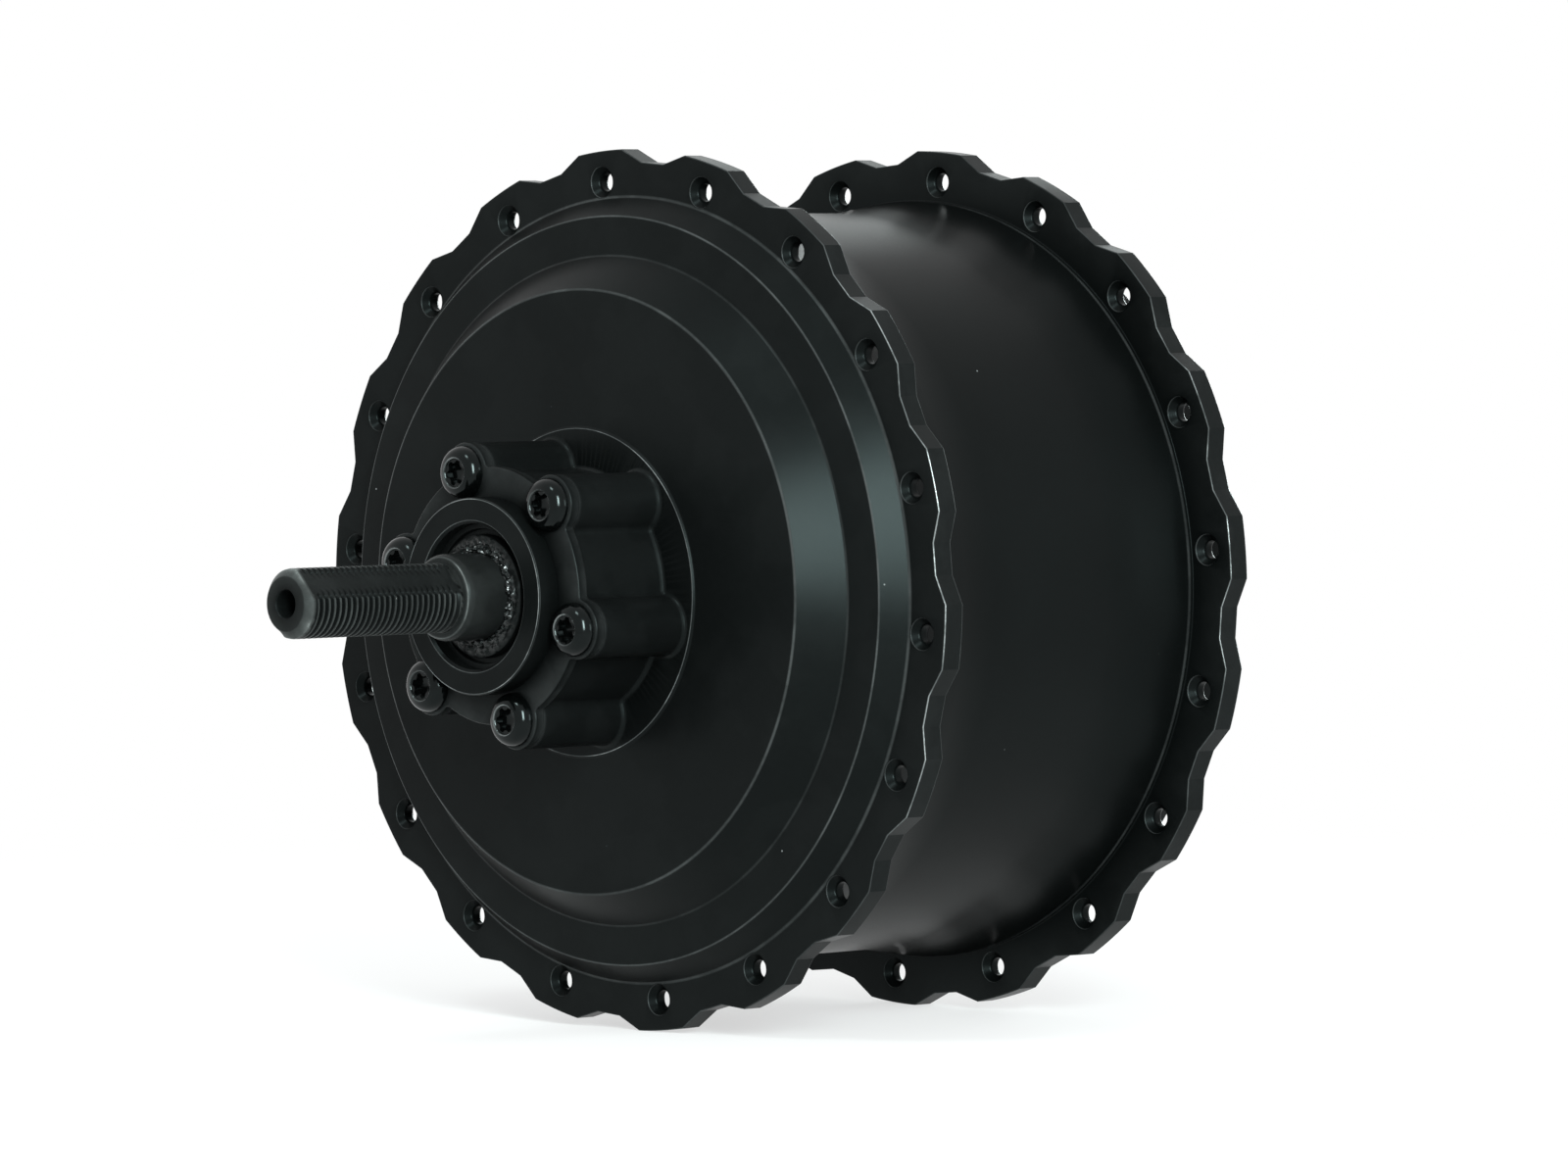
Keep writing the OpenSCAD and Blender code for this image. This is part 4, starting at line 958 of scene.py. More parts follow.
@dataclass
class HubShell:
    """The cast shell: two lobed flanges, the barrel, the disc side end wall and the disc boss.

    The haze is faint wear on whole faces and painted light as well: it lifts the disc side and the
    flanges where the lamps leave them dark. The scuffs are the strong wear of the rims, which fades away
    from scuff_angle over scuff_half degrees down to the share scuff_rest.
    """

    seat: DiscSeat = DiscSeat()
    left_face: float = 39.0
    right_in: float = -32.2
    flange_t: float = 4.2
    flange_r: float = 77.0
    rim_edge: float = 0.22
    flare_r: float = 68.0
    flare_lip: float = 0.9
    flare_len: float = 15.4
    flare_blend: float = 4.0
    barrel_r: float = 65.8
    phase: float = 15.0
    phase_shift: float = 10.0
    spoke_count: int = 18
    spoke_circle_r: float = 71.6
    spoke_r: float = 1.6
    sink_r: float = 2.8
    skirt_r: float = 68.65
    step_r: float = 65.35
    step_h: float = 4.25
    cone_foot_r: float = 58.4
    cone_foot_h: float = 4.67
    cone_top_r: float = 52.65
    cone_top_h: float = 11.65
    pad_r: float = 28.6
    pad_z: float = 51.5
    pad_step: float = 0.42
    spigot_r: float = 17.0
    spigot_h: float = 4.3
    spigot_edge: float = 0.22
    bore_chamfer: float = 0.5
    bearing_end: float = 59.5
    wall_t: float = 4.45
    wall_slant: float = 0.62
    cavity_r: float = 60.0
    ring_seat_r: float = 61.5
    ring_end: float = -12.0
    thread_hole_r: float = 2.5
    thread_mouth_r: float = 3.0
    thread_hole_depth: float = 14.0
    overcut: float = 0.6
    face_haze_and_painted_light: float = 0.008
    rim_haze_and_painted_light: float = 0.018
    scuff_angle: float = 8.0
    scuff_half: float = 45.0
    scuff_rest: float = 0.3

    def rim(self, shift: float = 0.0) -> LobedRim:
        """Returns the outline of a flange whose lobes are shifted by that angle."""
        return LobedRim(self.phase + shift, self.spoke_count, self.flange_r)

    def profile(self) -> list[Ring]:
        """Draws the shell's closed profile, without the boss.

        Returns:
            The rings, from the bore over the disc side and the barrel into the cavity.
        """
        near, far = self.rim(), self.rim(self.phase_shift)
        left_in = self.left_face - self.flange_t
        right_end = self.right_in - self.flange_t
        spigot_z = self.seat.z + self.spigot_h
        face_z = self.left_face + self.cone_top_h
        wall_z = face_z - self.wall_t
        corner_z = self.left_face + self.cone_foot_h - self.wall_t
        corner_r = self.cone_foot_r - self.wall_slant * self.wall_t
        return rounded([
            Ring(SEAL_BORE_R, self.bearing_end),
            Ring(SEAL_BORE_R, spigot_z - self.bore_chamfer),
            Ring(SEAL_BORE_R + self.bore_chamfer, spigot_z, 0.12, 0.25),
            Ring(self.spigot_r - self.spigot_edge, spigot_z, 0.1, 0.5),
            Ring(self.spigot_r, spigot_z - self.spigot_edge, 0.1, 0.1),
            Ring(self.spigot_r, self.pad_z),
            Ring(self.pad_r - 0.1, self.pad_z, 0.12, 0.35),
            Ring(self.pad_r + 0.25, self.pad_z - self.pad_step, 0.15),
            Ring(self.cone_top_r, face_z, 0.35, 0.17),
            Ring(self.cone_foot_r, self.left_face + self.cone_foot_h, 0.3, 0.05),
            Ring(self.step_r, self.left_face + self.step_h, 0.25, 0.21),
            Ring(self.skirt_r, self.left_face, 0.4, 0.12),
            Ring(self.flange_r, self.left_face, self.rim_edge, 0.6, near.radius),
            Ring(self.flange_r, left_in, self.rim_edge, 0.5, near.radius),
            Ring(self.flare_r, left_in, 0.4),
            Ring(self.flare_r, left_in - self.flare_lip, 0.3),
            Ring(self.barrel_r, left_in - self.flare_len, self.flare_blend),
            Ring(self.barrel_r, self.right_in + self.flare_len, self.flare_blend),
            Ring(self.flare_r, self.right_in + self.flare_lip, 0.4, 0.1),
            Ring(self.flare_r, self.right_in, 0.3),
            Ring(self.flange_r, self.right_in, self.rim_edge, 0.4, far.radius),
            Ring(self.flange_r, right_end, self.rim_edge, 0.4, far.radius),
            Ring(self.ring_seat_r, right_end),
            Ring(self.ring_seat_r, self.ring_end),
            Ring(self.cavity_r, self.ring_end),
            Ring(self.cavity_r, corner_z, 2),
            Ring(corner_r, corner_z, 1),
            Ring(corner_r - self.cone_foot_r + self.cone_top_r, wall_z, 1),
            Ring(BEARING_R, wall_z),
            Ring(BEARING_R, self.bearing_end),
        ])

    def spoke_hole(self) -> list[Ring]:
        """Draws the cutter of a spoke hole, with a softened countersink at each end.

        Returns:
            The rings, with z = 0 on the flange's lower face.
        """
        half = [
            Ring(0, -self.overcut),
            Ring(self.sink_r + 0.08, -self.overcut),
            Ring(self.sink_r, 0.1, 0.16, 0.15),
            Ring(self.spoke_r, self.sink_r - self.spoke_r, 0.35),
        ]
        flip = [Ring(c.r, self.flange_t - c.z, c.blend, c.wear) for c in reversed(half)]
        return rounded(half + flip)

    def thread_hole(self) -> list[Ring]:
        """Draws the cutter of a disc screw's hole, with its chamfered mouth.

        Returns:
            The rings, at the height of the disc seat.
        """
        top, bottom = self.seat.z + 1, self.seat.z - self.thread_hole_depth
        return [
            Ring(0, bottom),
            Ring(self.thread_hole_r, bottom),
            Ring(self.thread_hole_r, self.seat.z - 0.3),
            Ring(self.thread_mouth_r, self.seat.z + 0.2),
            Ring(self.thread_mouth_r, top),
            Ring(0, top),
        ]

    def cutters(self) -> bpy.types.Object:
        """Makes the cutters of all spoke holes and disc screw holes.

        Returns:
            The cutters in one mesh.
        """
        maker = MeshMaker()
        for z, phase in ((self.left_face - self.flange_t, self.phase),
                         (self.right_in - self.flange_t, self.phase + self.phase_shift)):
            for angle in even_angles(self.spoke_count, phase):
                maker.pin(self.spoke_hole(), spot(angle, self.spoke_circle_r, z), count=32)
        for angle in self.seat.angles():
            maker.pin(self.thread_hole(), spot(angle, self.seat.circle_r, 0))
        return maker.build("hole_cutters")

    def scuff(self, maker: MeshMaker) -> None:
        """Hazes the disc side and the flanges with faint wear and painted light, and keeps the strong
        wear of the rims on one side, fading the rest.

        Args:
            maker: The mesh of the turned shell.
        """
        slack, rim_slack, rim_from = 0.1, 0.5, self.skirt_r + 3
        for i, (x, y, z) in enumerate(maker.points):
            r = math.hypot(x, y)
            # The haze is faint wear and painted light: it lifts faces that the lamps leave dark.
            if z > self.left_face - slack:
                maker.wear[i] += self.face_haze_and_painted_light
            elif r > self.flare_r + rim_slack:
                maker.wear[i] += self.rim_haze_and_painted_light
            if r >= rim_from and maker.wear[i] > 2 * self.rim_haze_and_painted_light:
                away = abs((math.degrees(math.atan2(y, x)) - self.scuff_angle + 180) % 360 - 180)
                maker.wear[i] *= mixed(1.0, self.scuff_rest, limited(away / self.scuff_half) ** 2)

    def build(self) -> bpy.types.Object:
        """Makes the shell in one solid and dresses it.

        Returns:
            The shell.
        """
        maker = MeshMaker()
        maker.turn(self.profile(), self.rim().angles())
        self.scuff(maker)
        shell = maker.build("coated_hub_shell")
        combine(shell, DiscBoss(self.seat, self.pad_z, self.spigot_r).build(), Join.UNION)
        combine(shell, self.cutters(), Join.CUT, sharp=17)
        return dress(shell, "coated_shell", "shell", "hub_shell")


@dataclass(frozen=True)
class Socket:
    """A six-lobed driver socket of diameter d, turned by the twist in degrees.

    NOTCH and CENTRE are the radius of a ridge between two lobes and how far its near side stands from
    the axis, as shares of d.
    """

    d: float
    twist: float = 0.0

    NOTCH, CENTRE = 0.16, 0.385

    def radius(self, angle: float, r: float) -> float:
        """Works out the socket's radius.

        Args:
            angle: The angle in degrees.
            r: The ring's radius at the lobes' tips.

        Returns:
            The ring's radius at that angle.
        """
        notch_r = self.NOTCH * self.d
        centre = self.CENTRE * self.d + notch_r
        away = math.radians((angle - self.twist) % 60 - 30)
        edge = self.d / 2
        if abs(centre * math.sin(away)) < notch_r:
            near = centre * math.cos(away) - math.sqrt(notch_r ** 2 - (centre * math.sin(away)) ** 2)
            edge = min(edge, near)
        return edge + r - self.d / 2


@dataclass(frozen=True)
class ButtonScrew:
    """A button head screw with a six-lobed socket, its head standing on z = 0.

    MOUTH holds the rings between the head's flat top and the socket: the share of the socket's radius,
    the depth and the wear. The strong wear at the mouth's edge is worn metal and a painted highlight.
    """

    d: float
    length: float
    head_d: float
    top_d: float
    head_h: float
    socket_d: float
    socket_depth: float
    tip: float = 0.5
    edge: float = 0.35
    mouth_depth: float = 0.45

    # The ring at 1.18 of the socket's radius is bright worn metal and a painted highlight.
    MOUTH = ((1.22, 0.0, 0.2), (1.18, 0.05, 0.9), (1.1, 0.18, 0.1), (1.05, 0.4, 0.0))

    def rings(self, twist: float) -> list[Ring]:
        """Draws the screw's profile.

        Args:
            twist: The angle of its socket in degrees.

        Returns:
            The rings, from the end of the shank over the head into the socket.
        """
        socket = Socket(self.socket_d, twist)
        shank, r, top, mouth = self.d / 2, self.head_d / 2, self.top_d / 2, self.socket_d / 2
        floor = self.head_h - self.socket_depth
        dome = [Ring(mixed(top - self.edge, r, math.cos(t) ** 0.9),
                     mixed(self.edge, self.head_h, math.sin(t))) for t in quarter(9)[:-1]]
        return [
            Ring(0, -self.length),
            Ring(shank - self.tip, -self.length),
            Ring(shank, self.tip - self.length),
            Ring(shank, 0),
            Ring(r - 0.15, 0),
            Ring(r, 0.18, wear=0.05),
            *dome,
            *(Ring(mouth * share, self.head_h - depth, wear=wear) for share, depth, wear in self.MOUTH),
            Ring(mouth, self.head_h - self.mouth_depth, shape=socket.radius),
            Ring(mouth, floor, shape=socket.radius),
            Ring(mouth * 0.5, floor - 0.1),
            Ring(0, floor - 0.3),
        ]


@dataclass
class DiscScrews:
    """The screws that fill the disc mount, each socket turned on from the one before."""

    seat: DiscSeat = DiscSeat()
    screw: ButtonScrew = ButtonScrew(
        d=5.0, length=11.0, head_d=9.3, top_d=5.4, head_h=2.75, socket_d=4.5, socket_depth=1.9)
    first_twist: float = 8.0
    next_twist: float = 17.0
    points: int = 72

    def build(self) -> bpy.types.Object:
        """Makes the screws as one piece and dresses them.

        Returns:
            The screws.
        """
        maker = MeshMaker()
        for i, angle in enumerate(self.seat.angles()):
            rings = self.screw.rings(self.first_twist + i * self.next_twist)
            maker.pin(rings, spot(angle, self.seat.circle_r, self.seat.z), self.points)
        return dress(maker.build("disc_screw_set", sharp=35), "black_oxide", "shell", "disc_screws")


@dataclass(frozen=True)
class Thread:
    """An outside thread that runs out at both ends.

    FORM holds the points of one turn: the share of the pitch, the height as a share of the depth and
    the wear. FLAT_WEAR is the wear where a flat cuts the thread off.
    """

    r: float
    pitch: float
    depth: float
    start: float
    end: float

    FORM = ((0.0, 1.0, 0.16), (0.10, 1.0, 0.16), (0.17, 0.8, 0.0), (0.42, 0.0, 0.0), (0.52, 0.0, 0.0),
            (0.79, 0.8, 0.0), (0.86, 1.0, 0.16))
    FLAT_WEAR = 0.03

    def add(self, maker: MeshMaker, angles: Sequence[float], shape: Shape | None = None) -> None:
        """Adds the thread's helical surface to a mesh.

        Args:
            maker: The mesh.
            angles: The angles of the points on a turn, in degrees and rising.
            shape: Limits the radius at each angle, as a flat does.
        """
        per_turn, last = len(self.FORM), len(angles) - 1
        turns = math.ceil((self.end - self.start) / self.pitch) + 2
        rows = []
        for k in range(turns * per_turn + 1):
            share, height, rubbed = self.FORM[k % per_turn]
            row, wear = [], []
            for a in angles:
                z = self.start + (k // per_turn + share + (a - angles[0]) / 360 - 1) * self.pitch
                fade = limited(min(z - self.start, self.end - z) / self.pitch)
                full = self.r - self.depth * (1 - height) * fade
                r = shape(a, full) if shape else full
                x, y = r * math.cos(math.radians(a)), r * math.sin(math.radians(a))
                row.append((x, y, limited(z, self.start, self.end)))
                wear.append(rubbed if r > full - 0.01 else self.FLAT_WEAR)
            rows.append(maker.add(row))
            maker.wear[-len(row):] = wear
        for k, (low, high) in enumerate(zip(rows, rows[1:])):
            for j in range(last):
                maker.faces.append((low[j], low[j + 1], high[j + 1], high[j]))
            far = k + per_turn
            if far + 1 < len(rows):
                maker.faces.append((low[last], rows[far][0], rows[far + 1][0], high[last]))


@dataclass(frozen=True)
class Block:
    """A box between two corners, in millimetres."""

    low: Point
    high: Point

    def add(self, maker: MeshMaker) -> None:
        """Adds the box to a mesh.

        Args:
            maker: The mesh.
        """
        (x0, y0, z0), (x1, y1, z1) = self.low, self.high
        rows = [maker.add([(x0, y0, z), (x1, y0, z), (x1, y1, z), (x0, y1, z)]) for z in (z0, z1)]
        maker.bridge(rows[0], rows[1])
        maker.faces += [tuple(rows[0]), tuple(reversed(rows[1]))]


@dataclass
class Axle:
    """The hollow through axle with a threaded end and two flats on each side.

    Values named start or end are heights. DRILLING holds the radius and the depth of each ring of the
    centre drilling.
    """

    shoulder_z: float = 84.1
    shoulder_h: float = 1.6
    tip_z: float = 119.3
    cover_tip_z: float = 111.1
    thread_r: float = 6.0
    pitch: float = 1.25
    run_in: float = 0.45
    journal_r: float = 7.5
    cover_side_journal_end: float = -9.0
    bearing_seat_r: float = 8.5
    cover_side_seat_end: float = -1.0
    stator_seat_r: float = 10.0
    collar_r: float = 12.0
    collar_start: float = 26.0
    collar_end: float = 29.0
    disc_side_seat_start: float = 34.5
    disc_side_journal_start: float = 50.5
    chamfer: float = 1.3
    flat_half: float = 5.0
    flat_angle: float = 41.3
    bore_r: float = 3.5
    bore_chamfer: float = 0.5
    bore_end: float = 2.3
    stator_keyway: Block = Block((-2, -11, 8), (2, -8, 25))
    clutch_keyway: Block = Block((-2, -8.5, -36.2), (2, -6, -28.2))
    lead_slot: Block = Block((-4.5, -1, -0.3), (4.5, 15, 4.9))

    DRILLING = ((2.6, 0.0), (2.4, 0.2), (1.9, 1.7), (1.85, 5.0), (0.0, 6.0))

    @property
    def thread_depth(self) -> float:
        """The depth of the thread."""
        return 0.54 * self.pitch

    def angles(self) -> list[float]:
        """Works out the angles of a ring, with points at the edges of both flats.

        Returns:
            The angles in degrees.
        """
        outer = math.degrees(math.acos(self.flat_half / self.thread_r))
        inner = math.degrees(math.acos(self.flat_half / (self.thread_r - self.thread_depth)))
        parts = ((-outer, -inner, 6), (-inner, inner, 4), (inner, outer, 6), (outer, 180 - outer, 26))
        return [self.flat_angle + side + mixed(a, b, i / n)
                for side in (0, 180) for a, b, n in parts for i in range(n)]

    def flattened(self, angle: float, r: float) -> float:
        """Returns the radius at an angle where two flats limit it."""
        toward = abs(math.cos(math.radians(angle - self.flat_angle)))
        return min(r, self.flat_half / max(toward, TINY))

    def tip(self, side: Side) -> float:
        """Returns the distance from the middle to the tip on that side."""
        return self.tip_z if side is Side.DISC else self.cover_tip_z

    def thread_end(self, side: Side) -> float:
        """Returns the distance from the middle to the thread's outer end on that side."""
        return self.tip(side) - self.chamfer - 0.5

    def end_rings(self, side: Side) -> list[Ring]:
        """Draws the end of the axle: solid with a centre drilling on the disc side, bored on the other.

        Args:
            side: The side.

        Returns:
            The rings, from the thread's outer end to the tip and into its hole.
        """
        tip, r, flat = self.tip(side), self.thread_r, self.flattened
        rings = [
            Ring(r, self.thread_end(side), wear=0.1, shape=flat),
            Ring(r - 0.1, tip - self.chamfer + 0.1, wear=0.3, shape=flat),
            Ring(r - self.chamfer + 0.1, tip - 0.1, wear=0.15, shape=flat),
            Ring(r - self.chamfer - 0.1, tip, wear=0.05, shape=flat),
        ]
        if side is Side.DISC:
            rings += [Ring(hole_r, tip - depth) for hole_r, depth in self.DRILLING]
        else:
            rings += [
                Ring(self.bore_r + self.bore_chamfer, tip, wear=0.4),
                Ring(self.bore_r, tip - self.bore_chamfer, wear=0.2),
            ]
        return [Ring(c.r, side.value * c.z, c.blend, c.wear, c.shape) for c in rings]

    def shoulder(self, side: Side) -> list[Ring]:
        """Draws a rounded shoulder, its crest rubbed bright.

        Args:
            side: The side.

        Returns:
            The rings, from the thread to the journal.
        """
        low, wear, crest, crest_wear = self.thread_r + 0.3, 0.05, 3, 0.3
        rings = [Ring(self.thread_r + 0.05, side.value * self.shoulder_z, wear=0.1)]
        for i, t in enumerate(quarter(8)):
            z = self.shoulder_z - self.shoulder_h * (1 - math.cos(t))
            r = mixed(low, self.journal_r, math.sin(t))
            rings.append(Ring(r, side.value * z, wear=crest_wear if i == crest else wear))
        return rings

    def middle_rings(self) -> list[Ring]:
        """Draws the journals, seats and collar.

        Returns:
            The rings, from the cover side's shoulder to the disc side's.
        """
        step_h = 0.01
        rings = [Ring(self.thread_r, -self.shoulder_z, shape=self.flattened), *self.shoulder(Side.COVER)]
        for r, end in (
            (self.journal_r, self.cover_side_journal_end),
            (self.bearing_seat_r, self.cover_side_seat_end),
            (self.stator_seat_r, self.collar_start),
            (self.collar_r, self.collar_end),
            (self.stator_seat_r, self.disc_side_seat_start),
            (self.bearing_seat_r, self.disc_side_journal_start),
        ):
            rings += [Ring(r, rings[-1].z + step_h), Ring(r, end)]
        return rings + [
            Ring(self.journal_r, rings[-1].z + step_h),
            *reversed(self.shoulder(Side.DISC)),
            Ring(self.thread_r, self.shoulder_z, shape=self.flattened),
        ]

    def cutters(self) -> bpy.types.Object:
        """Makes the cutters of the two keyways and the slot for the leads.

        Returns:
            The cutters in one mesh.
        """
        maker = MeshMaker()
        for block in (self.stator_keyway, self.clutch_keyway, self.lead_slot):
            block.add(maker)
        return maker.build("axle_cutters")

    def build(self) -> bpy.types.Object:
        """Makes the axle in one solid and dresses it.

        Returns:
            The axle.
        """
        maker, angles = MeshMaker(), self.angles()
        start = self.shoulder_z + self.run_in
        for side in Side:
            low, high = sorted((side.value * start, side.value * self.thread_end(side)))
            thread = Thread(self.thread_r, self.pitch, self.thread_depth, low, high)
            thread.add(maker, angles, self.flattened)
            run_in = [Ring(self.thread_r, side.value * z, wear=0.1, shape=self.flattened)
                      for z in (self.shoulder_z, start)]
            maker.turn(run_in, angles, closed=False)
        maker.turn(self.middle_rings(), angles, closed=False)
        maker.turn(self.end_rings(Side.DISC), angles, closed=False)
        bore = [Ring(self.bore_r, self.bore_end), Ring(0, self.bore_end)]
        maker.turn(self.end_rings(Side.COVER) + bore, angles, closed=False)
        axle = maker.build("threaded_axle", sharp=25)
        combine(axle, self.cutters(), Join.CUT, sharp=25)
        return dress(axle, "blackened_steel", "axle_assembly", "axle")


@dataclass
class Seal:
    """A rubber seal in its bore, with grease pushed out round the axle."""

    name: str
    end_z: float
    side: Side
    lip_r: float = 7.62
    lip_w: float = 1.98
    rim_w: float = 1.0
    rim_drop: float = 1.0
    groove_depth: float = 2.0
    edge: float = 0.1
    width: float = 4.6
    grease_r: float = 10.0
    grease_h: float = 1.1
    lump_scale: float = 1.1

    def rings(self) -> list[Ring]:
        """Draws the seal: a face in fine rings for the grease, a groove and a lower rim.

        Returns:
            The closed profile, its outer end at z = 0 and its body reaching down.
        """
        lip_out, rim_in, e, steps = SEAL_BORE_R - self.lip_w, SEAL_BORE_R - self.rim_w, self.edge, 16
        groove, rim = -self.groove_depth, -self.rim_drop
        face = [Ring(mixed(self.lip_r, lip_out - 0.4, i / steps), 0.0) for i in range(steps + 1)]
        return face + [
            Ring(lip_out - e, -e),
            Ring(lip_out, -0.5),
            Ring(lip_out, groove + e),
            Ring(lip_out + e, groove),
            Ring(rim_in - e, groove),
            Ring(rim_in, groove + e),
            Ring(rim_in, rim - e),
            Ring(rim_in + e, rim),
            Ring(SEAL_BORE_R - 0.05, rim),
            Ring(SEAL_BORE_R, rim - e),
            Ring(SEAL_BORE_R, -self.width),
            Ring(self.lip_r + 1, -self.width),
            Ring(self.lip_r, 1 - self.width),
        ]

    def heap(self, maker: MeshMaker) -> None:
        """Heaps the grease on the seal's face, in lumps that thin out away from the axle.

        Args:
            maker: The mesh of the turned seal.
        """
        side, crest_r, layer = self.side.value, self.lip_r + 0.55, 7.0
        fineness, gap, octaves = 0.7, 2.0, 4
        for i, (x, y, z) in enumerate(maker.points):
            near = 1 - abs(math.hypot(x, y) - crest_r) / (self.grease_r - self.lip_r)
            if abs(z) < self.end_z - 0.01 or near <= 0:
                continue
            at = Vector((x, y, side * layer)) * self.lump_scale
            lump = noise.fractal(at, fineness, gap, octaves)
            rise = limited(near * (0.55 + 0.9 * lump), high=self.grease_h)
            maker.points[i] = (x, y, z + side * rise)
            maker.wear[i] = min(1.0, near * 1.6)

    def build(self) -> bpy.types.Object:
        """Makes the seal, heaps its grease and dresses it.

        Returns:
            The seal.
        """
        maker = MeshMaker()
        side = self.side.value
        maker.place = Matrix.Translation((0, 0, side * self.end_z)) @ Matrix.Scale(side, 4, (0, 0, 1))
        maker.turn(self.rings(), even_angles(180))
        self.heap(maker)
        seal = maker.build(self.name + "_greased", sharp=40)
        return dress(seal, "seal_rubber", "shell", self.name)


@dataclass
class SideCover:
    """The side cover with its raised face and the threaded boss for the freewheel."""

    rim_r: float = 68.0
    base_z: float = -36.9
    rim_z: float = -39.9
    face_z: float = -46.3
    seat_z: float = -49.0
    end_z: float = -62.0
    foot_r: float = 59.0
    face_r: float = 52.0
    seat_r: float = 23.5
    boss_r: float = 17.46
    pitch: float = 25.4 / 24
    thread_depth: float = 0.56
    relief: float = 0.55
    relief_h: float = 1.0
    lead_in: float = 0.9
    bore_chamfer: float = 0.5
    bearing_floor: float = -48.0
    bearing_mouth: float = -39.0
    hub_mouth_r: float = 19.6
    hub_foot_r: float = 20.0
    cavity_floor: float = -42.3
    cavity_r: float = 49.5
    spigot_in: float = 55.4
    spigot_r: float = 61.45
    spigot_z: float = -30.0
    screw_circle_r: float = 64.6
    screw_count: int = 9
    screw_phase: float = 30.0
    screw_hole_r: float = 1.5
    overcut: float = 1.0
    screw: ButtonScrew = ButtonScrew(
        d=2.6, length=9.0, head_d=5.7, top_d=3.53, head_h=1.65, socket_d=2.8, socket_depth=1.15)
    next_twist: float = 23.0

    def inside(self) -> list[Ring]:
        """Draws the boss's end, the bore and the inner side.

        Returns:
            The rings, from the thread's outer end to the spigot's foot.
        """
        return [
            Ring(self.boss_r, self.end_z + self.lead_in),
            Ring(self.boss_r - 0.8, self.end_z + 0.1, wear=0.25),
            Ring(self.boss_r - 1.0, self.end_z, wear=0.02),
            Ring(SEAL_BORE_R + self.bore_chamfer, self.end_z, wear=0.02),
            Ring(SEAL_BORE_R, self.end_z + self.bore_chamfer),
            Ring(SEAL_BORE_R, self.bearing_floor),
            Ring(BEARING_R, self.bearing_floor),
            Ring(BEARING_R, self.bearing_mouth),
            Ring(self.hub_mouth_r, self.bearing_mouth),
            Ring(self.hub_foot_r, self.cavity_floor),
            Ring(self.cavity_r, self.cavity_floor),
            Ring(self.spigot_in, self.base_z),
            Ring(self.spigot_in, self.spigot_z),
            Ring(self.spigot_r, self.spigot_z),
            Ring(self.spigot_r, self.base_z),
        ]

    def outside(self) -> list[Ring]:
        """Draws the rim, the raised face and the freewheel's seat.

        Returns:
            The rings, from the spigot's foot to the thread's inner end.
        """
        root_r, bottom = self.boss_r - self.relief, self.seat_z - self.relief_h
        return rounded([
            Ring(self.spigot_r, self.base_z),
            Ring(self.rim_r, self.base_z, 0.25, 0.1),
            Ring(self.rim_r, self.rim_z, 0.4, 0.25),
            Ring(self.foot_r, self.rim_z, 1.2),
            Ring(self.face_r, self.face_z + 1, 0.5, 0.12),
            Ring(self.seat_r, self.face_z + 0.6, 0.4),
            Ring(self.seat_r, self.seat_z, 0.25, 0.25),
            Ring(root_r, self.seat_z),
            Ring(root_r, bottom + 0.3),
            Ring(self.boss_r, bottom),
        ])

    def cutters(self) -> bpy.types.Object:
        """Makes the cutters of the screw holes.

        Returns:
            The cutters in one mesh.
        """
        maker = MeshMaker()
        low, high, r = self.rim_z - self.overcut, self.base_z + self.overcut, self.screw_hole_r
        for angle in even_angles(self.screw_count, self.screw_phase):
            hole = [Ring(0, low), Ring(r, low), Ring(r, high), Ring(0, high)]
            maker.pin(hole, spot(angle, self.screw_circle_r, 0))
        return maker.build("screw_hole_cutters")

    def build(self) -> bpy.types.Object:
        """Makes the cover in one solid and dresses it.

        Returns:
            The cover.
        """
        maker, angles = MeshMaker(), even_angles(180)
        maker.turn(self.inside() + self.outside()[1:], angles, closed=False)
        ends = (self.end_z + self.lead_in, self.seat_z - self.relief_h)
        Thread(self.boss_r, self.pitch, self.thread_depth, *ends).add(maker, angles)
        cover = maker.build("coated_side_cover")
        combine(cover, self.cutters(), Join.CUT)
        return dress(cover, "coated_shell", "shell", "right_cover")

    def screws(self) -> bpy.types.Object:
        """Makes the screws that hold the cover as one piece and dresses them.

        Returns:
            The screws.
        """
        maker, flip = MeshMaker(), Matrix.Rotation(math.pi, 4, "X")
        for i, angle in enumerate(even_angles(self.screw_count, self.screw_phase)):
            place = spot(angle, self.screw_circle_r, self.rim_z) @ flip
            maker.pin(self.screw.rings(i * self.next_twist), place, count=48)
        return dress(maker.build("cover_screw_set", sharp=35), "zinc_steel", "shell", "cover_screws")


@dataclass
class Works:
    """The solids of the model that are shown as they are, nearly all of them inside the shell.

    The slots are the names of their finishes by the names of their nodes.
    """

    slots: dict[str, str]

    def dress(self, left: Sequence[str]) -> None:
        """Gives each node its own finish.

        Args:
            left: The names of the nodes that no piece stands for.
        """
        for name in left:
            node = frame["nodes"][name]
            node.data.materials.clear()
            node.data.materials.append(bpy.data.materials[self.slots[name]])
            log.info("%s: %s", name, self.slots[name])


# The studio

WHITE = (1.0, 1.0, 1.0)


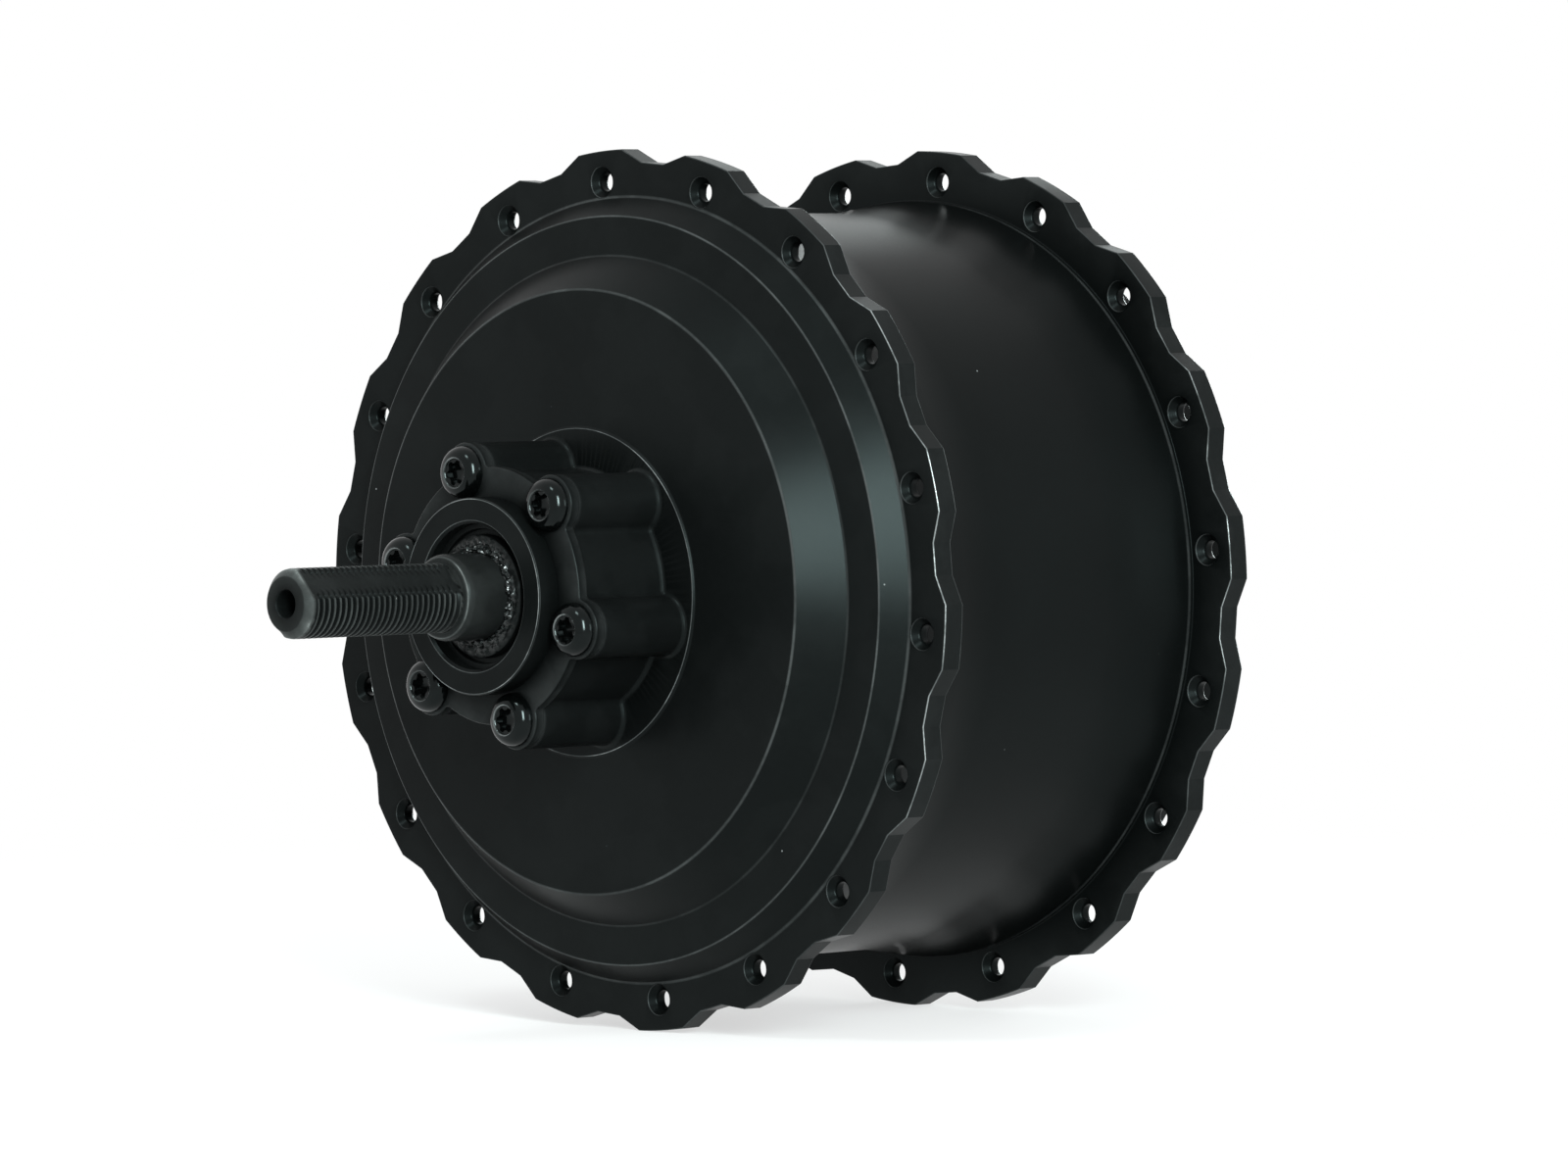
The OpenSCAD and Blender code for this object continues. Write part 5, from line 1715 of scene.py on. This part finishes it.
@dataclass(frozen=True)
class Stand:
    """A place round the object, in degrees and metres. Azimuth 0 is in front, at -Y, and 90 at +X."""

    azimuth: float
    elevation: float
    distance: float
    aim: Point = (0.0, 0.0, 0.0)
    roll: float = 0.0

    def hold(self, name: str, data: bpy.types.Camera | bpy.types.Light) -> bpy.types.Object:
        """Puts a camera or lamp here and points it at the aim.

        Args:
            name: Its name.
            data: Its settings.

        Returns:
            The camera or lamp.
        """
        a, e = math.radians(self.azimuth), math.radians(self.elevation)
        back = Vector((math.sin(a) * math.cos(e), -math.cos(a) * math.cos(e), math.sin(e)))
        roll = Quaternion((0, 0, 1), math.radians(self.roll))
        held = linked(name, data)
        held.location = Vector(self.aim) + back * self.distance
        held.rotation_mode = "QUATERNION"
        held.rotation_quaternion = (-back).to_track_quat("-Z", "Y") @ roll
        return held


@dataclass(frozen=True)
class SoftBox:
    """A rectangular lamp that faces the object, its sides in metres."""

    name: str
    stand: Stand
    width: float
    height: float
    radiance: float
    color: Color = (0.88, 1.0, 0.99)

    def build(self) -> None:
        """Makes the lamp, which the camera doesn't see."""
        data = bpy.data.lights.new(self.name, "AREA")
        data.shape = "RECTANGLE"
        data.size = self.width
        data.size_y = self.height
        data.color = self.color
        data.energy = self.radiance * math.pi * self.width * self.height
        self.stand.hold(self.name, data).visible_camera = False


@dataclass
class Studio:
    """The camera, the lamps, the white surroundings and the pale floor.

    The floor's shaded paint shows through its white by 1 - white_near up to shadow_near metres from the
    object's middle, and not at all past shadow_far.
    """

    view: Stand = Stand(45.343, 1.833, 1.6054, aim=(-0.0006, -0.0006, -0.0007), roll=-0.492)
    lens: float = 207.46
    sensor: float = 36.0
    ambient: float = 0.8
    floor_half: float = 7.0
    floor_color: Color = (0.86, 0.86, 0.86)
    floor_rough: float = 0.9
    white_near: float = 0.6
    shadow_near: float = 0.14
    shadow_far: float = 0.55
    lamps: tuple[SoftBox, ...] = (
        SoftBox("key", Stand(57.0, 17.0, 1.9), width=0.5, height=1.2, radiance=20.0),
        SoftBox("key_core", Stand(57.0, 17.0, 1.88), width=0.24, height=0.8, radiance=38.0),
        SoftBox("front_top", Stand(8.0, 56.0, 2.2), width=0.45, height=0.45, radiance=18.0),
        SoftBox("top_back", Stand(224.0, 28.0, 2.4), width=0.9, height=0.7, radiance=1.0),
        SoftBox("barrel_side", Stand(111.0, 4.0, 2.0), width=0.3, height=1.0, radiance=5.0),
        SoftBox("cover_side", Stand(203.0, 12.0, 2.2), width=0.8, height=0.8, radiance=18.0),
    )

    def camera(self) -> None:
        """Makes the camera at the photograph's viewing angle."""
        data = bpy.data.cameras.new("camera")
        data.lens = self.lens
        data.sensor_width = self.sensor
        bpy.context.scene.camera = self.view.hold("camera", data)

    @staticmethod
    def seen(shader: Shader) -> Wire:
        """Tells the rays that show a thing from those that it lights others by.

        Args:
            shader: The shader that the nodes are added to.

        Returns:
            1 on camera, glossy and transmission rays and 0 on all others.
        """
        camera, glossy, transmission = (shader.node("ShaderNodeLightPath", output=f"Is {kind} Ray")
                                        for kind in ("Camera", "Glossy", "Transmission"))
        return (camera + glossy + transmission).above(0.0, 0.5)

    def world(self) -> None:
        """Makes the white surroundings, which light the object less than they show."""
        world = bpy.data.worlds.new("studio")
        bpy.context.scene.world = world
        shader = Shader(world)
        back = shader.own("BACKGROUND")
        shader.set(back.inputs["Color"], WHITE)
        shader.set(back.inputs["Strength"], self.ambient + self.seen(shader) * (1 - self.ambient))

    def floor(self) -> None:
        """Makes the pale floor under the lowest lobes, which keeps the object's soft shadow."""
        low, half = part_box("hub_shell")[0].z, self.floor_half
        corners = ((-half, -half), (half, -half), (half, half), (-half, half))
        mesh = bpy.data.meshes.new("floor")
        mesh.from_pydata([(x, y, low) for x, y in corners], [], [(0, 1, 2, 3)])
        floor = linked("floor", mesh)
        s = Shader.named("floor")
        s.finish(Base_Color=self.floor_color, Roughness=self.floor_rough, Specular_IOR_Level=0.0)
        paint = Wire(s, s.own("BSDF_PRINCIPLED").outputs[0])
        white = s.node("ShaderNodeEmission", {}, {"Color": WHITE, "Strength": 1.0})
        away = s.distance(s.place()).above(self.shadow_near, self.shadow_far)
        share = self.seen(s) * (self.white_near + away * (1 - self.white_near))
        s.set(s.own("OUTPUT_MATERIAL").inputs["Surface"],
              s.node("ShaderNodeMixShader", {}, {0: share, 1: paint, 2: white}))
        mesh.materials.append(s.owner)

    def build(self) -> None:
        """Makes the whole studio."""
        self.camera()
        self.world()
        self.floor()
        for lamp in self.lamps:
            lamp.build()
        bpy.context.scene.view_settings.view_transform = "Standard"


def main() -> None:
    """Makes the studio, the finishes and the motor's pieces."""
    logging.basicConfig(level=logging.INFO, format="%(message)s")
    Studio().build()
    for finish in FINISHES:
        finish.material()
    cover = SideCover()
    made = [
        HubShell().build(),
        DiscScrews().build(),
        Axle().build(),
        Seal("left_seal", end_z=75.0, side=Side.DISC).build(),
        Seal("right_seal", end_z=60.4, side=Side.COVER).build(),
        cover.build(),
        cover.screws(),
    ]
    replaced = {name for piece in made for name in piece["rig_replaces"]}
    slots = {part["node"]: part["material_slot"] for part in frame["record"]["subparts"]}
    Works(slots).dress([name for name in sorted(frame["nodes"]) if name not in replaced])


if __name__ == "__main__":
    main()
